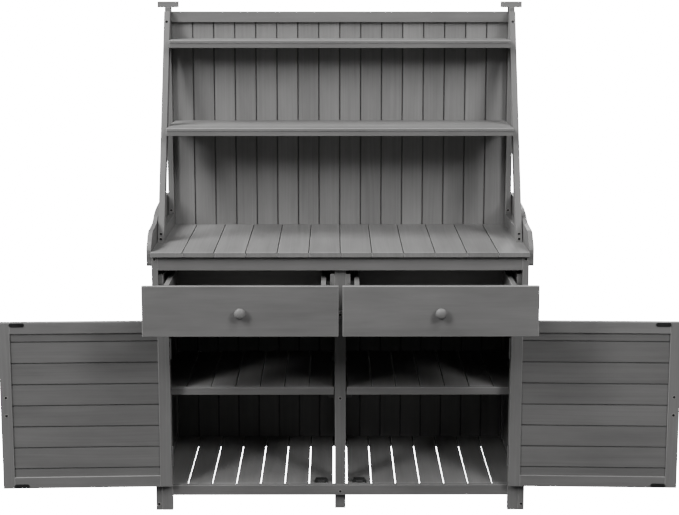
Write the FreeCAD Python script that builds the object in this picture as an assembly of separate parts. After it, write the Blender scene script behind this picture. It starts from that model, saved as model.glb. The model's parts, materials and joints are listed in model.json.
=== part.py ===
import FreeCAD, Part
import math
import os

# Potting bench: a two-bay cabinet with two drawers and two doors, and a shelved hutch above it.
# Millimetres.  X runs left to right about the centre line, Y from the front face of the front
# posts to the back, Z up from the floor.  Right-hand pieces are modelled and mirrored.

V = FreeCAD.Vector

# ---- overall sizes -------------------------------------------------------------------------
WIDTH = 1200.0            # across the outer faces of the front posts
DEPTH = 485.0             # front face of the front posts to the rear face of the rear posts
WORKTOP_TOP = 861.0
POST_TOP = 1617.0         # rear posts, under their caps

# ---- timber stock --------------------------------------------------------------------------
POST_T, POST_D = 20.0, 42.0
FRAME_T = 16.0            # front frame pieces, front to back
FRAME_W = 35.0            # face width of front rails, stiles and the centre post
BATTEN = 20.0             # square batten
BOARD_T = 10.0            # matchboard of the back and sides
BACK_RECESS = 18.0        # matchboard face behind the rear posts' rear face
REAR_INSET = 3.0          # rear posts and braces inside the line of the front posts
VEE, BOARD_GAP, TONGUE, TONGUE_SLACK = 1.5, 1.4, 4.0, 0.4

# ---- worktop and its rim -------------------------------------------------------------------
WORKTOP_T, OVERHANG, WORKTOP_BOARDS = 15.0, 15.0, 12
NOTCH_SLACK = 0.5
APRON_H, RAIL_DEEP = 46.0, 42.0
GUARD_T, GUARD_DROP, GUARD_LIP, GUARD_CORNER = 15.0, 49.0, 5.0, 12.0
GUARD_STEP = (20.0, 30.0)          # distance back, height above the worktop
GUARD_SHOULDER = (73.0, 58.0)
GUARD_SADDLE = (142.0, 63.0)
GUARD_WAIST = (190.0, 83.0)
GUARD_CREST = (266.0, 98.0)
GUARD_REAR_RISE = 110.0

# ---- cabinet -------------------------------------------------------------------------------
BOTTOM_RAIL_Z = 51.0
DRAWER_RAIL_Z, DRAWER_RAIL_H = 643.0, 24.0
SLATS_PER_BAY, SLAT_T, SLAT_GAP, SLAT_SIDE_GAP = 7, 12.0, 3.6, 5.0
MIDDLE_SHELF_TOP, SHELF_RAIL_H = 408.0, 24.0
BEARER_H, CENTRE_BEARER_W = 22.0, 75.0
SIDE_BOARDS, BACK_BOARDS, HOUSING = 6, 16, 8.0
BATTEN_W = 42.0           # rear battens, face height
SHELF_SETBACK = 4.0       # middle shelf behind the closed doors
SHELF_END_AIR = 3.0

# ---- doors ---------------------------------------------------------------------------------
DOOR_GAP = 2.0            # all round a door
DOOR_STILE_W, DOOR_RAIL_H = 37.0, 38.0
PANEL_T, PANEL_FRONT, PANEL_HOUSING, PANEL_SLACK = 8.0, 3.0, 6.0, 0.3
PANEL_PITCH, PANEL_FULL_BOARDS = 70.0, 6
DOOR_OPEN = 178.0         # angle of the doors as modelled
DOOR_LIFT = 2.0           # room for sagging under a door
HINGE_L, HINGE_INSET, LEAF_T, LEAF_W = 66.0, 96.0, 1.5, 13.0
KNUCKLE_R, PIN_R, PIN_FIT, KNUCKLE_GAP, KNUCKLES = 3.5, 1.5, 0.05, 0.4, 5
AXIS_FORWARD = 4.0        # hinge axis in front of the frame's face
HANDLE_SCREWS, HANDLE_L, HANDLE_REACH, HANDLE_BAR, HANDLE_DROP = 60.0, 92.0, 30.0, 12.0, 1.0
STRIKE_L, STRIKE_W, STRIKE_T, STRIKE_FROM_EDGE, STRIKE_FROM_END = 48.0, 13.0, 1.2, 60.0, 8.5

# ---- magnetic catches ----------------------------------------------------------------------
CATCH_L, CATCH_TOP_L, CATCH_H, CATCH_D, CATCH_AIR = 45.0, 34.0, 13.0, 17.0, 0.6
CATCH_LIP = 3.0
MAGNET_L, MAGNET_H, MAGNET_D = 22.0, 6.0, 9.0

# ---- drawers -------------------------------------------------------------------------------
DRAWER_OPEN = 219.0       # how far the drawers stand out as modelled
DRAWER_FRONT_Z, DRAWER_FRONT_H, DRAWER_FRONT_T = 647.5, 157.0, 15.0
DRAWER_FRONT_SEAT = 1.0   # air behind a closed drawer front
DRAWER_MID_GAP = 12.0
DRAWER_SIDE_T, DRAWER_SIDE_Z, DRAWER_SIDE_H, DRAWER_BOX_L = 15.0, 668.0, 102.0, 385.0
DRAWER_BOTTOM_T, DRAWER_BOTTOM_UP, DRAWER_HOUSING = 6.0, 8.0, 6.0
RUNNER_T, RUNNER_Z, RUNNER_H = 15.0, 700.0, 84.0
SLIDE_L, SLIDE_H, SLIDE_T, SLIDE_Z, SLIDE_SETBACK = 350.0, 45.0, 12.7, 736.5, 2.0
SLIDE_SHEET, SLIDE_STEP, SLIDE_LIP_AIR = 1.2, 4.0, 1.7
KNOB_R, KNOB_NECK_R, KNOB_BASE_R, KNOB_L, KNOB_DROP = 17.0, 6.5, 9.0, 26.0, 4.0
KNOB_SCREW_GRIP, PILOT_ROOM = 13.0, 1.0

# ---- hutch ---------------------------------------------------------------------------------
MAIN_SHELF_TOP, MAIN_SHELF_FRONT, MAIN_SHELF_BOARDS = 1228.0, 225.0, 3
TOP_SHELF_TOP, TOP_SHELF_FRONT, TOP_SHELF_BOARDS = 1511.0, 340.0, 2
HUTCH_SHELF_T, HUTCH_RAIL_H, HUTCH_SHELF_AIR, HUTCH_NOSING = 9.0, 17.0, 5.0, 2.5
TOP_RAIL_T, TOP_RAIL_H, TOP_RAIL_DROP = 15.0, 36.0, 14.0
BRACE_FOOT, BRACE_HEAD_SHOWS, BRACE_W = 142.0, 12.5, 45.0
BRACE_HEAD_DROP = 13.0
CAP_L, CAP_T = 69.0, 20.0

# ---- screws --------------------------------------------------------------------------------
SCREW_HEAD_R, SCREW_HEAD_H, SCREW_R, SCREW_SINK, SCREW_MOUTH = 4.5, 2.6, 1.8, 0.6, 3.0
SOCKET_R, SOCKET_D = 1.9, 1.8
SMALL = 0.55              # small screws, as a share of a frame screw
BRACE_SCREW_SINK = 1.0    # further in, because a brace's front edge slopes
POST_SCREW_DROP, FOOT_SCREW_Z = 10.0, 21.0       # below the worktop, above the floor
BRACE_SCREW_RISES = (11.0, 27.0)                 # above the worktop
HEAD_SCREW_DROP, REAR_SCREW_UP, SHELF_SCREW_IN = 47.0, 12.0, 55.0
GUARD_SCREW_RISES = (-38.0, 19.0, 22.0)          # front, middle and rear, from the worktop
BOARD_JOINT_GAP = 1.0                            # between the cabinet's back boards and the hutch's

# ---- worked out from the sizes above -------------------------------------------------------
HALF = WIDTH / 2
FRONT_IN = HALF - POST_T                      # inner face of a front post
REAR_OUT = HALF - REAR_INSET
REAR_IN = REAR_OUT - POST_T
REAR_POST_Y = DEPTH - POST_D
BACK_FACE = DEPTH - BACK_RECESS
BATTEN_Y = BACK_FACE + BOARD_T
UNDER_TOP = WORKTOP_TOP - WORKTOP_T
STILE_IN = FRONT_IN - FRAME_W                 # inner edge of a front stile
CENTRE_HALF = FRAME_W / 2
CENTRE_Y = FRAME_T                            # front face of the centre post
CENTRE_BACK = CENTRE_Y + POST_D
REAR_BATTEN_Y = BACK_FACE - BATTEN            # front of the battens on the matchboard's inner face
SLAT_TOP = BOTTOM_RAIL_Z + FRAME_W
SIDE_RAIL_T = REAR_OUT - FRONT_IN
SIDE_IN = FRONT_IN + (SIDE_RAIL_T - BOARD_T) / 2
DOOR_BOTTOM = SLAT_TOP + DOOR_GAP + DOOR_LIFT
DOOR_TOP = DRAWER_RAIL_Z - DOOR_GAP
DOOR_OUT = STILE_IN - DOOR_GAP
HINGE_X = STILE_IN - DOOR_GAP / 2
RUNNER_FACE = FRONT_IN - RUNNER_T
DRAWER_OUT = RUNNER_FACE - SLIDE_T
DRAWER_IN = CENTRE_HALF + RUNNER_T + SLIDE_T
DRAWER_SHIFT = V(0, -DRAWER_OPEN, 0)
KNOB_X = (HALF + DRAWER_MID_GAP / 2) / 2
SHELF_HALF = REAR_IN - HUTCH_SHELF_AIR
HUTCH_SHELVES = ((MAIN_SHELF_TOP, MAIN_SHELF_FRONT), (TOP_SHELF_TOP, TOP_SHELF_FRONT))
FRONT_LIMIT = -DRAWER_OPEN - DRAWER_FRONT_SEAT - DRAWER_FRONT_T - KNOB_L
ORIGIN_Y = (FRONT_LIMIT + DEPTH) / 2          # the origin stands under the middle of the whole

ALONG_Y = V(0, 1, 0)
ALONG_X = V(1, 0, 0)
UP = V(0, 0, 1)


# ---- helpers -------------------------------------------------------------------------------
def box(x0, x1, y0, y1, z0, z1):
    """Block between two corners."""
    return Part.makeBox(x1 - x0, y1 - y0, z1 - z0, V(x0, y0, z0))


def rod(radius, length, at, along):
    """Cylinder from a point along a direction."""
    return Part.makeCylinder(radius, length, at, along)


def face_of(points):
    """Flat face inside a closed run of points."""
    return Part.Face(Part.makePolygon(points + points[:1]))


def prism(points, axis, start, stop):
    """Outline drawn across an axis and carried along it: x takes (Y, Z), y (X, Z), z (X, Y)."""
    if axis == "x":
        return face_of([V(start, a, b) for a, b in points]).extrude(V(stop - start, 0, 0))
    if axis == "y":
        return face_of([V(a, start, b) for a, b in points]).extrude(V(0, stop - start, 0))
    return face_of([V(a, b, start) for a, b in points]).extrude(V(0, 0, stop - start))


def mirrored(shape):
    """The same piece on the other side of the centre line."""
    return shape.mirror(V(0, 0, 0), ALONG_X)


def pair(shape):
    """A right-hand piece and its left-hand twin."""
    return [shape, mirrored(shape)]


def board_outline(u0, u1, thick, groove, tongue, both_faces):
    """Matchboard section: (along the row, into the thickness), show face at 0."""
    mid, half = thick / 2, thick / 6
    back = VEE if both_faces else 0.0
    slot = half + TONGUE_SLACK / 2
    left = [(u0 + back, thick), (u0, thick - back)]
    if groove:
        depth = TONGUE + TONGUE_SLACK
        left += [(u0, mid + slot), (u0 + depth, mid + slot), (u0 + depth, mid - slot), (u0, mid - slot)]
    left += [(u0, VEE), (u0 + VEE, 0.0)]
    right = [(u1 - VEE, 0.0), (u1, VEE)]
    if tongue:
        right += [(u1, mid - half), (u1 + TONGUE, mid - half), (u1 + TONGUE, mid + half), (u1, mid + half)]
    right += [(u1, thick - back), (u1 - back, thick)]
    points = left + right
    return [p for k, p in enumerate(points) if p != points[k - 1]]


def board_row(edges, thick, both_faces=False):
    """Outlines of boards side by side, whose joints stand at the inner edges given."""
    outlines = []
    last = len(edges) - 2
    for k in range(last + 1):
        u0 = edges[k] + (BOARD_GAP / 2 if k else 0.0)
        u1 = edges[k + 1] - (BOARD_GAP / 2 if k < last else 0.0)
        outlines.append(board_outline(u0, u1, thick, k > 0, k < last, both_faces))
    return outlines


def even(start, stop, count):
    """Edges of count equal boards."""
    return [start + (stop - start) * k / count for k in range(count + 1)]


def screw(at, into, length, scale=1.0):
    """Socket-head screw, sunk a little below the surface it is driven into."""
    head_at = at + into * SCREW_SINK
    body = rod(SCREW_HEAD_R * scale, SCREW_HEAD_H * scale, head_at, into)
    body = body.fuse(rod(SCREW_R * scale, length, head_at, into)).removeSplitter()
    return body.cut(rod(SOCKET_R * scale, SOCKET_D * scale, head_at, into))


def screw_bore(at, into, length, scale=1.0):
    """The hole that a screw sits in, open to the surface."""
    mouth_l = SCREW_MOUTH + SCREW_SINK + SCREW_HEAD_H * scale
    mouth = rod(SCREW_HEAD_R * scale, mouth_l, at - into * SCREW_MOUTH, into)
    return mouth.fuse(rod(SCREW_R * scale, length + SCREW_SINK, at, into))


def drilled(shapes, bores):
    """Pieces with every bore that reaches them cut out."""
    done = []
    for shape in shapes:
        near = [b for b in bores if shape.BoundBox.intersect(b.BoundBox)]
        done.append(shape.cut(near) if near else shape)
    return done


# ---- cabinet frame -------------------------------------------------------------------------
def front_posts():
    return pair(box(FRONT_IN, HALF, 0, POST_D, 0, UNDER_TOP))


def rear_posts():
    return pair(box(REAR_IN, REAR_OUT, REAR_POST_Y, DEPTH, 0, POST_TOP))


def front_stiles():
    mortises = [leaf_plate(z, STILE_IN, LEAF_T) for z in hinge_heights()]
    return pair(box(STILE_IN, FRONT_IN, 0, FRAME_T, 0, DRAWER_RAIL_Z).cut(mortises))


def centre_posts():
    """One behind the front rails and one before the rear battens."""
    return [box(-CENTRE_HALF, CENTRE_HALF, y, y + POST_D, 0, UNDER_TOP)
            for y in (CENTRE_Y, REAR_BATTEN_Y - POST_D)]


def front_apron():
    return [box(-FRONT_IN, FRONT_IN, 0, FRAME_T, UNDER_TOP - APRON_H, UNDER_TOP)]


def drawer_rail():
    return [box(-FRONT_IN, FRONT_IN, 0, FRAME_T, DRAWER_RAIL_Z, DRAWER_RAIL_Z + DRAWER_RAIL_H)]


def bottom_front_rail():
    return [box(-STILE_IN, STILE_IN, 0, FRAME_T, BOTTOM_RAIL_Z, SLAT_TOP)]


def side_rails():
    """Top and bottom rails of each side, grooved for the boards."""
    groove = box(SIDE_IN - TONGUE_SLACK / 2, SIDE_IN + BOARD_T + TONGUE_SLACK / 2, POST_D, REAR_POST_Y,
                 BOTTOM_RAIL_Z + RAIL_DEEP - HOUSING, UNDER_TOP - RAIL_DEEP + HOUSING)
    rails = []
    for z in (BOTTOM_RAIL_Z, UNDER_TOP - RAIL_DEEP):
        rails += pair(box(FRONT_IN, REAR_OUT, POST_D, REAR_POST_Y, z, z + RAIL_DEEP).cut(groove))
    return rails


def side_boards():
    rows = board_row(even(POST_D + BOARD_GAP, REAR_POST_Y - BOARD_GAP, SIDE_BOARDS), BOARD_T)
    z0 = BOTTOM_RAIL_Z + RAIL_DEEP - HOUSING + BOARD_GAP
    z1 = UNDER_TOP - RAIL_DEEP + HOUSING - BOARD_GAP
    boards = []
    for outline in rows:
        boards += pair(prism([(SIDE_IN + BOARD_T - v, u) for u, v in outline], "z", z0, z1))
    return boards


def back_boards(z0, z1):
    """Matchboard between the rear posts, joints running up."""
    rows = board_row(even(-REAR_IN, REAR_IN, BACK_BOARDS), BOARD_T)
    return [prism([(u, BACK_FACE + v) for u, v in outline], "z", z0, z1) for outline in rows]


def back_battens():
    """Battens across the rear face of the matchboard, one of them over the joint of its two halves."""
    heights = (BOTTOM_RAIL_Z, MIDDLE_SHELF_TOP + SLAT_T, UNDER_TOP - BATTEN_W / 2,
               MAIN_SHELF_TOP - BATTEN_W, POST_TOP - TOP_RAIL_DROP - BATTEN_W)
    return [box(-REAR_IN, REAR_IN, BATTEN_Y, DEPTH, z, z + BATTEN_W) for z in heights]


def bay_slats(y0, y1, z_top):
    """Slats of both bays, running front to back."""
    start = CENTRE_HALF + SLAT_SIDE_GAP
    pitch = (REAR_IN - start) / SLATS_PER_BAY
    slats = []
    for k in range(SLATS_PER_BAY):
        x = start + k * pitch
        slats += pair(box(x + SLAT_GAP / 2, x + pitch - SLAT_GAP / 2, y0, y1, z_top - SLAT_T, z_top))
    return slats


def bottom_ledgers():
    """Battens that carry the bottom slats behind the front rail and before the back boards."""
    top = SLAT_TOP - SLAT_T
    front = box(CENTRE_HALF, FRONT_IN, FRAME_T, FRAME_T + BATTEN, top - BATTEN, top)
    rear = box(-REAR_IN, REAR_IN, REAR_BATTEN_Y, BACK_FACE, top - BATTEN, top)
    return pair(front) + [rear]


def middle_shelf_rails():
    """Front edging of the two middle shelves and the battens under their slats."""
    y0 = FRAME_T + SHELF_SETBACK
    x0, x1 = CENTRE_HALF + SHELF_END_AIR, FRONT_IN - SHELF_END_AIR
    z0 = MIDDLE_SHELF_TOP - SHELF_RAIL_H
    rails = pair(box(x0, x1, y0, y0 + FRAME_T, z0, MIDDLE_SHELF_TOP))
    for y in (y0 + FRAME_T, REAR_BATTEN_Y - BATTEN):
        rails += pair(box(x0, x1, y, y + BATTEN, z0, MIDDLE_SHELF_TOP - SLAT_T))
    return rails


def middle_slats():
    return bay_slats(FRAME_T + SHELF_SETBACK + FRAME_T, REAR_BATTEN_Y, MIDDLE_SHELF_TOP)


def shelf_bearers():
    """What the middle shelves rest on: a bearer at each side and a wide one between the centre posts."""
    z1 = MIDDLE_SHELF_TOP - SHELF_RAIL_H
    half = CENTRE_BEARER_W / 2
    sides = pair(box(FRONT_IN - BATTEN, FRONT_IN, FRAME_T, REAR_POST_Y, z1 - BEARER_H, z1))
    return sides + [box(-half, half, CENTRE_BACK, REAR_BATTEN_Y - POST_D, z1 - BEARER_H, z1)]


def catch_battens():
    """Battens behind the drawer rail that carry the upper catches."""
    z1 = DRAWER_RAIL_Z + DRAWER_RAIL_H
    return pair(box(CENTRE_HALF, STILE_IN, FRAME_T, FRAME_T + BATTEN, DRAWER_RAIL_Z, z1))


def worktop_battens():
    """Rear and middle supports of the worktop."""
    z0 = UNDER_TOP - RAIL_DEEP
    middle = (CENTRE_BACK + REAR_BATTEN_Y - POST_D) / 2
    rear = box(-REAR_IN, REAR_IN, REAR_BATTEN_Y, BACK_FACE, z0, UNDER_TOP)
    return [rear, box(-FRONT_IN, FRONT_IN, middle - BATTEN / 2, middle + BATTEN / 2, z0, UNDER_TOP)]


def worktop_boards():
    """Boards running front to back, the outer two notched round the rear posts."""
    notches = pair(box(REAR_IN - NOTCH_SLACK, HALF, REAR_POST_Y - NOTCH_SLACK, BACK_FACE, 0, POST_TOP))
    boards = []
    for outline in board_row(even(-HALF, HALF, WORKTOP_BOARDS), WORKTOP_T):
        board = prism([(u, WORKTOP_TOP - v) for u, v in outline], "y", -OVERHANG, BACK_FACE)
        boards.append(board.cut(notches))
    return boards


def side_guards():
    """Shaped rims at the ends of the worktop, stepping up from a low lip to a high back."""
    def at(back, rise):
        return V(HALF, back, WORKTOP_TOP + rise)

    def between(start, stop, share, bow):
        """Point part of the way from one outline point to the next, off the straight line by bow."""
        run, rise = stop[0] - start[0], stop[1] - start[1]
        return at(start[0] + run * share - bow, start[1] + rise * share + bow)
    lip, low, rear = (0.0, GUARD_LIP), (0.0, GUARD_CORNER - GUARD_DROP), (DEPTH, GUARD_REAR_RISE)
    under, heel = (GUARD_CORNER, -GUARD_DROP), (DEPTH, -GUARD_DROP)
    inset = GUARD_CORNER * (1 - math.sqrt(0.5))
    edges = [
        Part.Arc(at(*under), at(inset, inset - GUARD_DROP), at(*low)),
        Part.LineSegment(at(*low), at(*lip)),
        Part.Arc(at(*lip), between(lip, GUARD_STEP, 0.5, 2.0), at(*GUARD_STEP)),
        Part.Arc(at(*GUARD_STEP), between(GUARD_STEP, GUARD_SHOULDER, 0.45, 6.5), at(*GUARD_SHOULDER)),
        Part.LineSegment(at(*GUARD_SHOULDER), at(*GUARD_SADDLE)),
        Part.Arc(at(*GUARD_SADDLE), between(GUARD_SADDLE, GUARD_WAIST, 0.5, -1.8), at(*GUARD_WAIST)),
        Part.Arc(at(*GUARD_WAIST), between(GUARD_WAIST, GUARD_CREST, 0.45, 2.2), at(*GUARD_CREST)),
        Part.Arc(at(*GUARD_CREST), between(GUARD_CREST, rear, 0.4, 2.0), at(*rear)),
        Part.LineSegment(at(*rear), at(*heel)),
        Part.LineSegment(at(*heel), at(*under)),
    ]
    wire = Part.Wire([edge.toShape() for edge in edges])
    return pair(Part.Face(wire).extrude(V(GUARD_T, 0, 0)))


# ---- hutch ---------------------------------------------------------------------------------
def brace_slope():
    """How far a brace's edge runs back for each millimetre it rises."""
    return (REAR_POST_Y - BRACE_HEAD_SHOWS - BRACE_FOOT) / (POST_TOP - WORKTOP_TOP)


def braces():
    """Raking struts from the worktop to the heads of the rear posts."""
    slope = brace_slope()
    top = POST_TOP - BRACE_HEAD_DROP
    head = BRACE_FOOT + slope * (top - WORKTOP_TOP)
    meet = WORKTOP_TOP + (REAR_POST_Y - BRACE_FOOT - BRACE_W) / slope
    outline = [(BRACE_FOOT, WORKTOP_TOP), (BRACE_FOOT + BRACE_W, WORKTOP_TOP), (REAR_POST_Y, meet),
               (REAR_POST_Y, top), (head, top)]
    return pair(prism(outline, "x", REAR_IN, REAR_OUT))


def foot_rails():
    """Short rails on the worktop from a brace's foot to its rear post."""
    start = BRACE_FOOT + BRACE_W
    rise = RAIL_DEEP
    outline = [(start, WORKTOP_TOP), (REAR_POST_Y, WORKTOP_TOP), (REAR_POST_Y, WORKTOP_TOP + rise),
               (start + brace_slope() * rise, WORKTOP_TOP + rise)]
    return pair(prism(outline, "x", REAR_IN, REAR_OUT))


def shelf_boards(top, front, count):
    """Long boards of a hutch shelf, laid side by side from its front edge to the back."""
    outlines = board_row(even(front, BACK_FACE, count), HUTCH_SHELF_T)
    return [prism([(u, top - v) for u, v in outline], "x", -SHELF_HALF, SHELF_HALF) for outline in outlines]


def hutch_rails():
    """The rail across the top and the edging under the front of each hutch shelf."""
    z1 = POST_TOP - TOP_RAIL_DROP
    rails = [box(-REAR_IN, REAR_IN, BACK_FACE - TOP_RAIL_T, BACK_FACE, z1 - TOP_RAIL_H, z1)]
    for top, front in HUTCH_SHELVES:
        y0, z1 = front + HUTCH_NOSING, top - HUTCH_SHELF_T
        rails.append(box(-SHELF_HALF, SHELF_HALF, y0, y0 + FRAME_T, z1 - HUTCH_RAIL_H, z1))
    return rails


def hutch_shelf_bearers():
    """Bearers under each hutch shelf: one on each side frame and one along the back."""
    bearers = []
    x = REAR_IN - BATTEN
    for top, front in HUTCH_SHELVES:
        z1 = top - HUTCH_SHELF_T
        z0 = z1 - HUTCH_RAIL_H
        bearers += pair(box(x, REAR_IN, front + HUTCH_NOSING + FRAME_T, BACK_FACE, z0, z1))
        bearers.append(box(-x, x, REAR_BATTEN_Y, BACK_FACE, z0, z1))
    return bearers


def post_caps():
    """Offcuts laid across the heads of the rear posts."""
    middle = (REAR_IN + REAR_OUT) / 2
    return pair(box(middle - CAP_L / 2, middle + CAP_L / 2, REAR_POST_Y, DEPTH, POST_TOP, POST_TOP + CAP_T))


# ---- hinges --------------------------------------------------------------------------------
def hinge_heights():
    """Middles of the two hinges of a door."""
    return (DOOR_BOTTOM + HINGE_INSET, DOOR_TOP - HINGE_INSET)


def knuckle_span(z, k):
    """Bottom and top of one knuckle of the hinge centred at z."""
    each = HINGE_L / KNUCKLES
    bottom = z - HINGE_L / 2 + k * each
    return bottom + KNUCKLE_GAP / 2, bottom + each - KNUCKLE_GAP / 2


def leaf_plate(z, face_x, thick):
    """Flat of a leaf let into an edge whose face stands at face_x, thick being signed."""
    x0, x1 = sorted((face_x, face_x + thick))
    return box(x0, x1, 0.0, LEAF_W, z - HINGE_L / 2, z + HINGE_L / 2)


def hinge_leaf(z, face_x, thick, knuckles, bore_r):
    """Leaf with its knuckles rolled round the hinge axis."""
    x0, x1 = sorted((face_x, face_x + thick))
    leaf = leaf_plate(z, face_x, thick)
    for k in knuckles:
        z0, z1 = knuckle_span(z, k)
        leaf = leaf.fuse(box(x0, x1, -AXIS_FORWARD, 0.0, z0, z1))
        leaf = leaf.fuse(rod(KNUCKLE_R, z1 - z0, V(HINGE_X, -AXIS_FORWARD, z0), UP))
    bore = rod(bore_r, HINGE_L, V(HINGE_X, -AXIS_FORWARD, z - HINGE_L / 2), UP)
    return leaf.removeSplitter().cut(bore)


def frame_leaves():
    return [leaf for z in hinge_heights()
            for leaf in pair(hinge_leaf(z, STILE_IN, LEAF_T, range(0, KNUCKLES, 2), PIN_R))]


def hinge_pins():
    """Pins with a flat head above and below the knuckles."""
    pins = []
    for z in hinge_heights():
        low = z - HINGE_L / 2
        pin = rod(PIN_R, HINGE_L, V(HINGE_X, -AXIS_FORWARD, low), UP)
        for end, way in ((low, -1), (low + HINGE_L, 1)):
            pin = pin.fuse(rod((PIN_R + KNUCKLE_R) / 2, 1.2, V(HINGE_X, -AXIS_FORWARD, end), UP * way))
        pins += pair(pin.removeSplitter())
    return pins


# ---- catches -------------------------------------------------------------------------------
def strike_x():
    """Middle of a strike plate and of its catch, with the door shut."""
    return DOOR_GAP + STRIKE_FROM_EDGE


def catch_sites():
    """Seat height of each catch and which way it stands from there."""
    return ((SLAT_TOP, 1), (DRAWER_RAIL_Z, -1))


def catch_housings():
    """Magnet holders: wide at the seat, narrow at the other side, with a pocket in the front."""
    x, y0 = strike_x(), FRAME_T + STRIKE_T + CATCH_AIR
    low, high = CATCH_L / 2, CATCH_TOP_L / 2
    housings = []
    for z, way in catch_sites():
        lip, top = z + way * CATCH_LIP, z + way * CATCH_H
        right = [(x + low, z), (x + low, lip), (x + high, top)]
        outline = right + [(2 * x - u, v) for u, v in reversed(right)]
        body = prism(outline, "y", y0, y0 + CATCH_D)
        housings += pair(body.cut(magnet_block(z, way)))
    return housings


def magnet_block(z, way):
    x, y0 = strike_x(), FRAME_T + STRIKE_T + CATCH_AIR
    z0 = z + way * CATCH_H / 2 - MAGNET_H / 2
    return box(x - MAGNET_L / 2, x + MAGNET_L / 2, y0, y0 + MAGNET_D, z0, z0 + MAGNET_H)


def catch_magnets():
    return [m for z, way in catch_sites() for m in pair(magnet_block(z, way))]


# ---- drawers -------------------------------------------------------------------------------
def drawer_runners():
    """Boards that carry the slides, on each cabinet side and on each side of the centre post."""
    z1 = RUNNER_Z + RUNNER_H
    outer = box(RUNNER_FACE, FRONT_IN, CENTRE_Y, REAR_POST_Y, RUNNER_Z, z1)
    inner = box(CENTRE_HALF, CENTRE_HALF + RUNNER_T, CENTRE_Y, REAR_BATTEN_Y, RUNNER_Z, z1)
    return pair(outer) + pair(inner)


def channel(depth0, depth1, height, web_at_far_side):
    """Slide member section: (distance from the runner, height), a web with two lips."""
    h, t = height / 2, SLIDE_SHEET
    if web_at_far_side:
        return [(depth0, -h), (depth1, -h), (depth1, h), (depth0, h), (depth0, h - t), (depth1 - t, h - t),
                (depth1 - t, t - h), (depth0, t - h)]
    return [(depth0, -h), (depth1, -h), (depth1, t - h), (depth0 + t, t - h), (depth0 + t, h - t),
            (depth1, h - t), (depth1, h), (depth0, h)]


def slide_members(section, shift):
    """One member of both slides of the right-hand drawer, shut, then moved."""
    members = []
    for face, way in ((RUNNER_FACE, -1), (CENTRE_HALF + RUNNER_T, 1)):
        outline = [(face + way * s, SLIDE_Z + h) for s, h in section]
        y0 = CENTRE_Y + SLIDE_SETBACK
        members.append(prism(outline, "y", y0 + shift, y0 + SLIDE_L + shift))
    return members


def slide_outer():
    section = channel(0.0, SLIDE_T - SLIDE_LIP_AIR, SLIDE_H, False)
    return [m for member in slide_members(section, 0.0) for m in pair(member)]


def slide_middle():
    section = channel(SLIDE_SHEET * 2.5, SLIDE_T - SLIDE_LIP_AIR, SLIDE_H - SLIDE_STEP * 2, False)
    return slide_members(section, -DRAWER_OPEN / 2)


def slide_inner():
    section = channel(SLIDE_T / 2, SLIDE_T, SLIDE_H - SLIDE_STEP * 4, True)
    return slide_members(section, -DRAWER_OPEN)


def drawer_front():
    """Overlay front, square-edged, covering its half of the opening."""
    y1 = -DRAWER_FRONT_SEAT
    z1 = DRAWER_FRONT_Z + DRAWER_FRONT_H
    front = box(DRAWER_MID_GAP / 2, HALF, y1 - DRAWER_FRONT_T, y1, DRAWER_FRONT_Z, z1)
    return front.makeChamfer(1.0, front.Edges).cut(drawer_bottom())


def drawer_box():
    """The two sides and the back of the box, grooved for the bottom."""
    y0, y1 = -DRAWER_FRONT_SEAT, DRAWER_BOX_L - DRAWER_FRONT_SEAT
    z0, z1 = DRAWER_SIDE_Z, DRAWER_SIDE_Z + DRAWER_SIDE_H
    x0, x1 = DRAWER_IN + DRAWER_SIDE_T, DRAWER_OUT - DRAWER_SIDE_T
    boards = [box(DRAWER_IN, x0, y0, y1, z0, z1), box(x1, DRAWER_OUT, y0, y1, z0, z1),
              box(x0, x1, y1 - DRAWER_SIDE_T, y1, z0, z1)]
    return [board.cut(drawer_bottom()) for board in boards]


def drawer_bottom():
    """Thin panel let into the front, sides and back."""
    inset = DRAWER_SIDE_T - DRAWER_HOUSING
    y1 = DRAWER_BOX_L - DRAWER_FRONT_SEAT - inset
    z0 = DRAWER_SIDE_Z + DRAWER_BOTTOM_UP
    return box(DRAWER_IN + inset, DRAWER_OUT - inset, -DRAWER_FRONT_SEAT - DRAWER_HOUSING, y1,
               z0, z0 + DRAWER_BOTTOM_T)


def knob_face_y():
    return -DRAWER_FRONT_SEAT - DRAWER_FRONT_T


def knob_z():
    return DRAWER_FRONT_Z + DRAWER_FRONT_H / 2 - KNOB_DROP


def drawer_knob():
    """Turned knob with its pilot hole: a foot, a hollow neck and a domed head."""
    def at(radius, out):
        return V(KNOB_X + radius, knob_face_y() - out, knob_z())
    rim, flare, pilot = KNOB_L * 0.62, KNOB_L * 0.42, KNOB_SCREW_GRIP + PILOT_ROOM
    rise = KNOB_L - rim
    dome_r = (KNOB_R ** 2 + rise ** 2) / (2 * rise)
    half_angle = math.asin(KNOB_R / dome_r) / 2
    shoulder = (dome_r * math.sin(half_angle), KNOB_L - dome_r * (1 - math.cos(half_angle)))
    edges = [
        Part.LineSegment(at(SCREW_R, 0), at(KNOB_BASE_R, 0)),
        Part.Arc(at(KNOB_BASE_R, 0), at(KNOB_NECK_R, KNOB_L * 0.22), at(KNOB_R * 0.8, flare)),
        Part.Arc(at(KNOB_R * 0.8, flare), at(KNOB_R * 0.97, KNOB_L * 0.49), at(KNOB_R, rim)),
        Part.Arc(at(KNOB_R, rim), at(*shoulder), at(0, KNOB_L)),
        Part.LineSegment(at(0, KNOB_L), at(0, pilot)),
        Part.LineSegment(at(0, pilot), at(SCREW_R, pilot)),
        Part.LineSegment(at(SCREW_R, pilot), at(SCREW_R, 0)),
    ]
    wire = Part.Wire([edge.toShape() for edge in edges])
    return Part.Face(wire).revolve(V(KNOB_X, knob_face_y(), knob_z()), ALONG_Y, 360)


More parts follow.
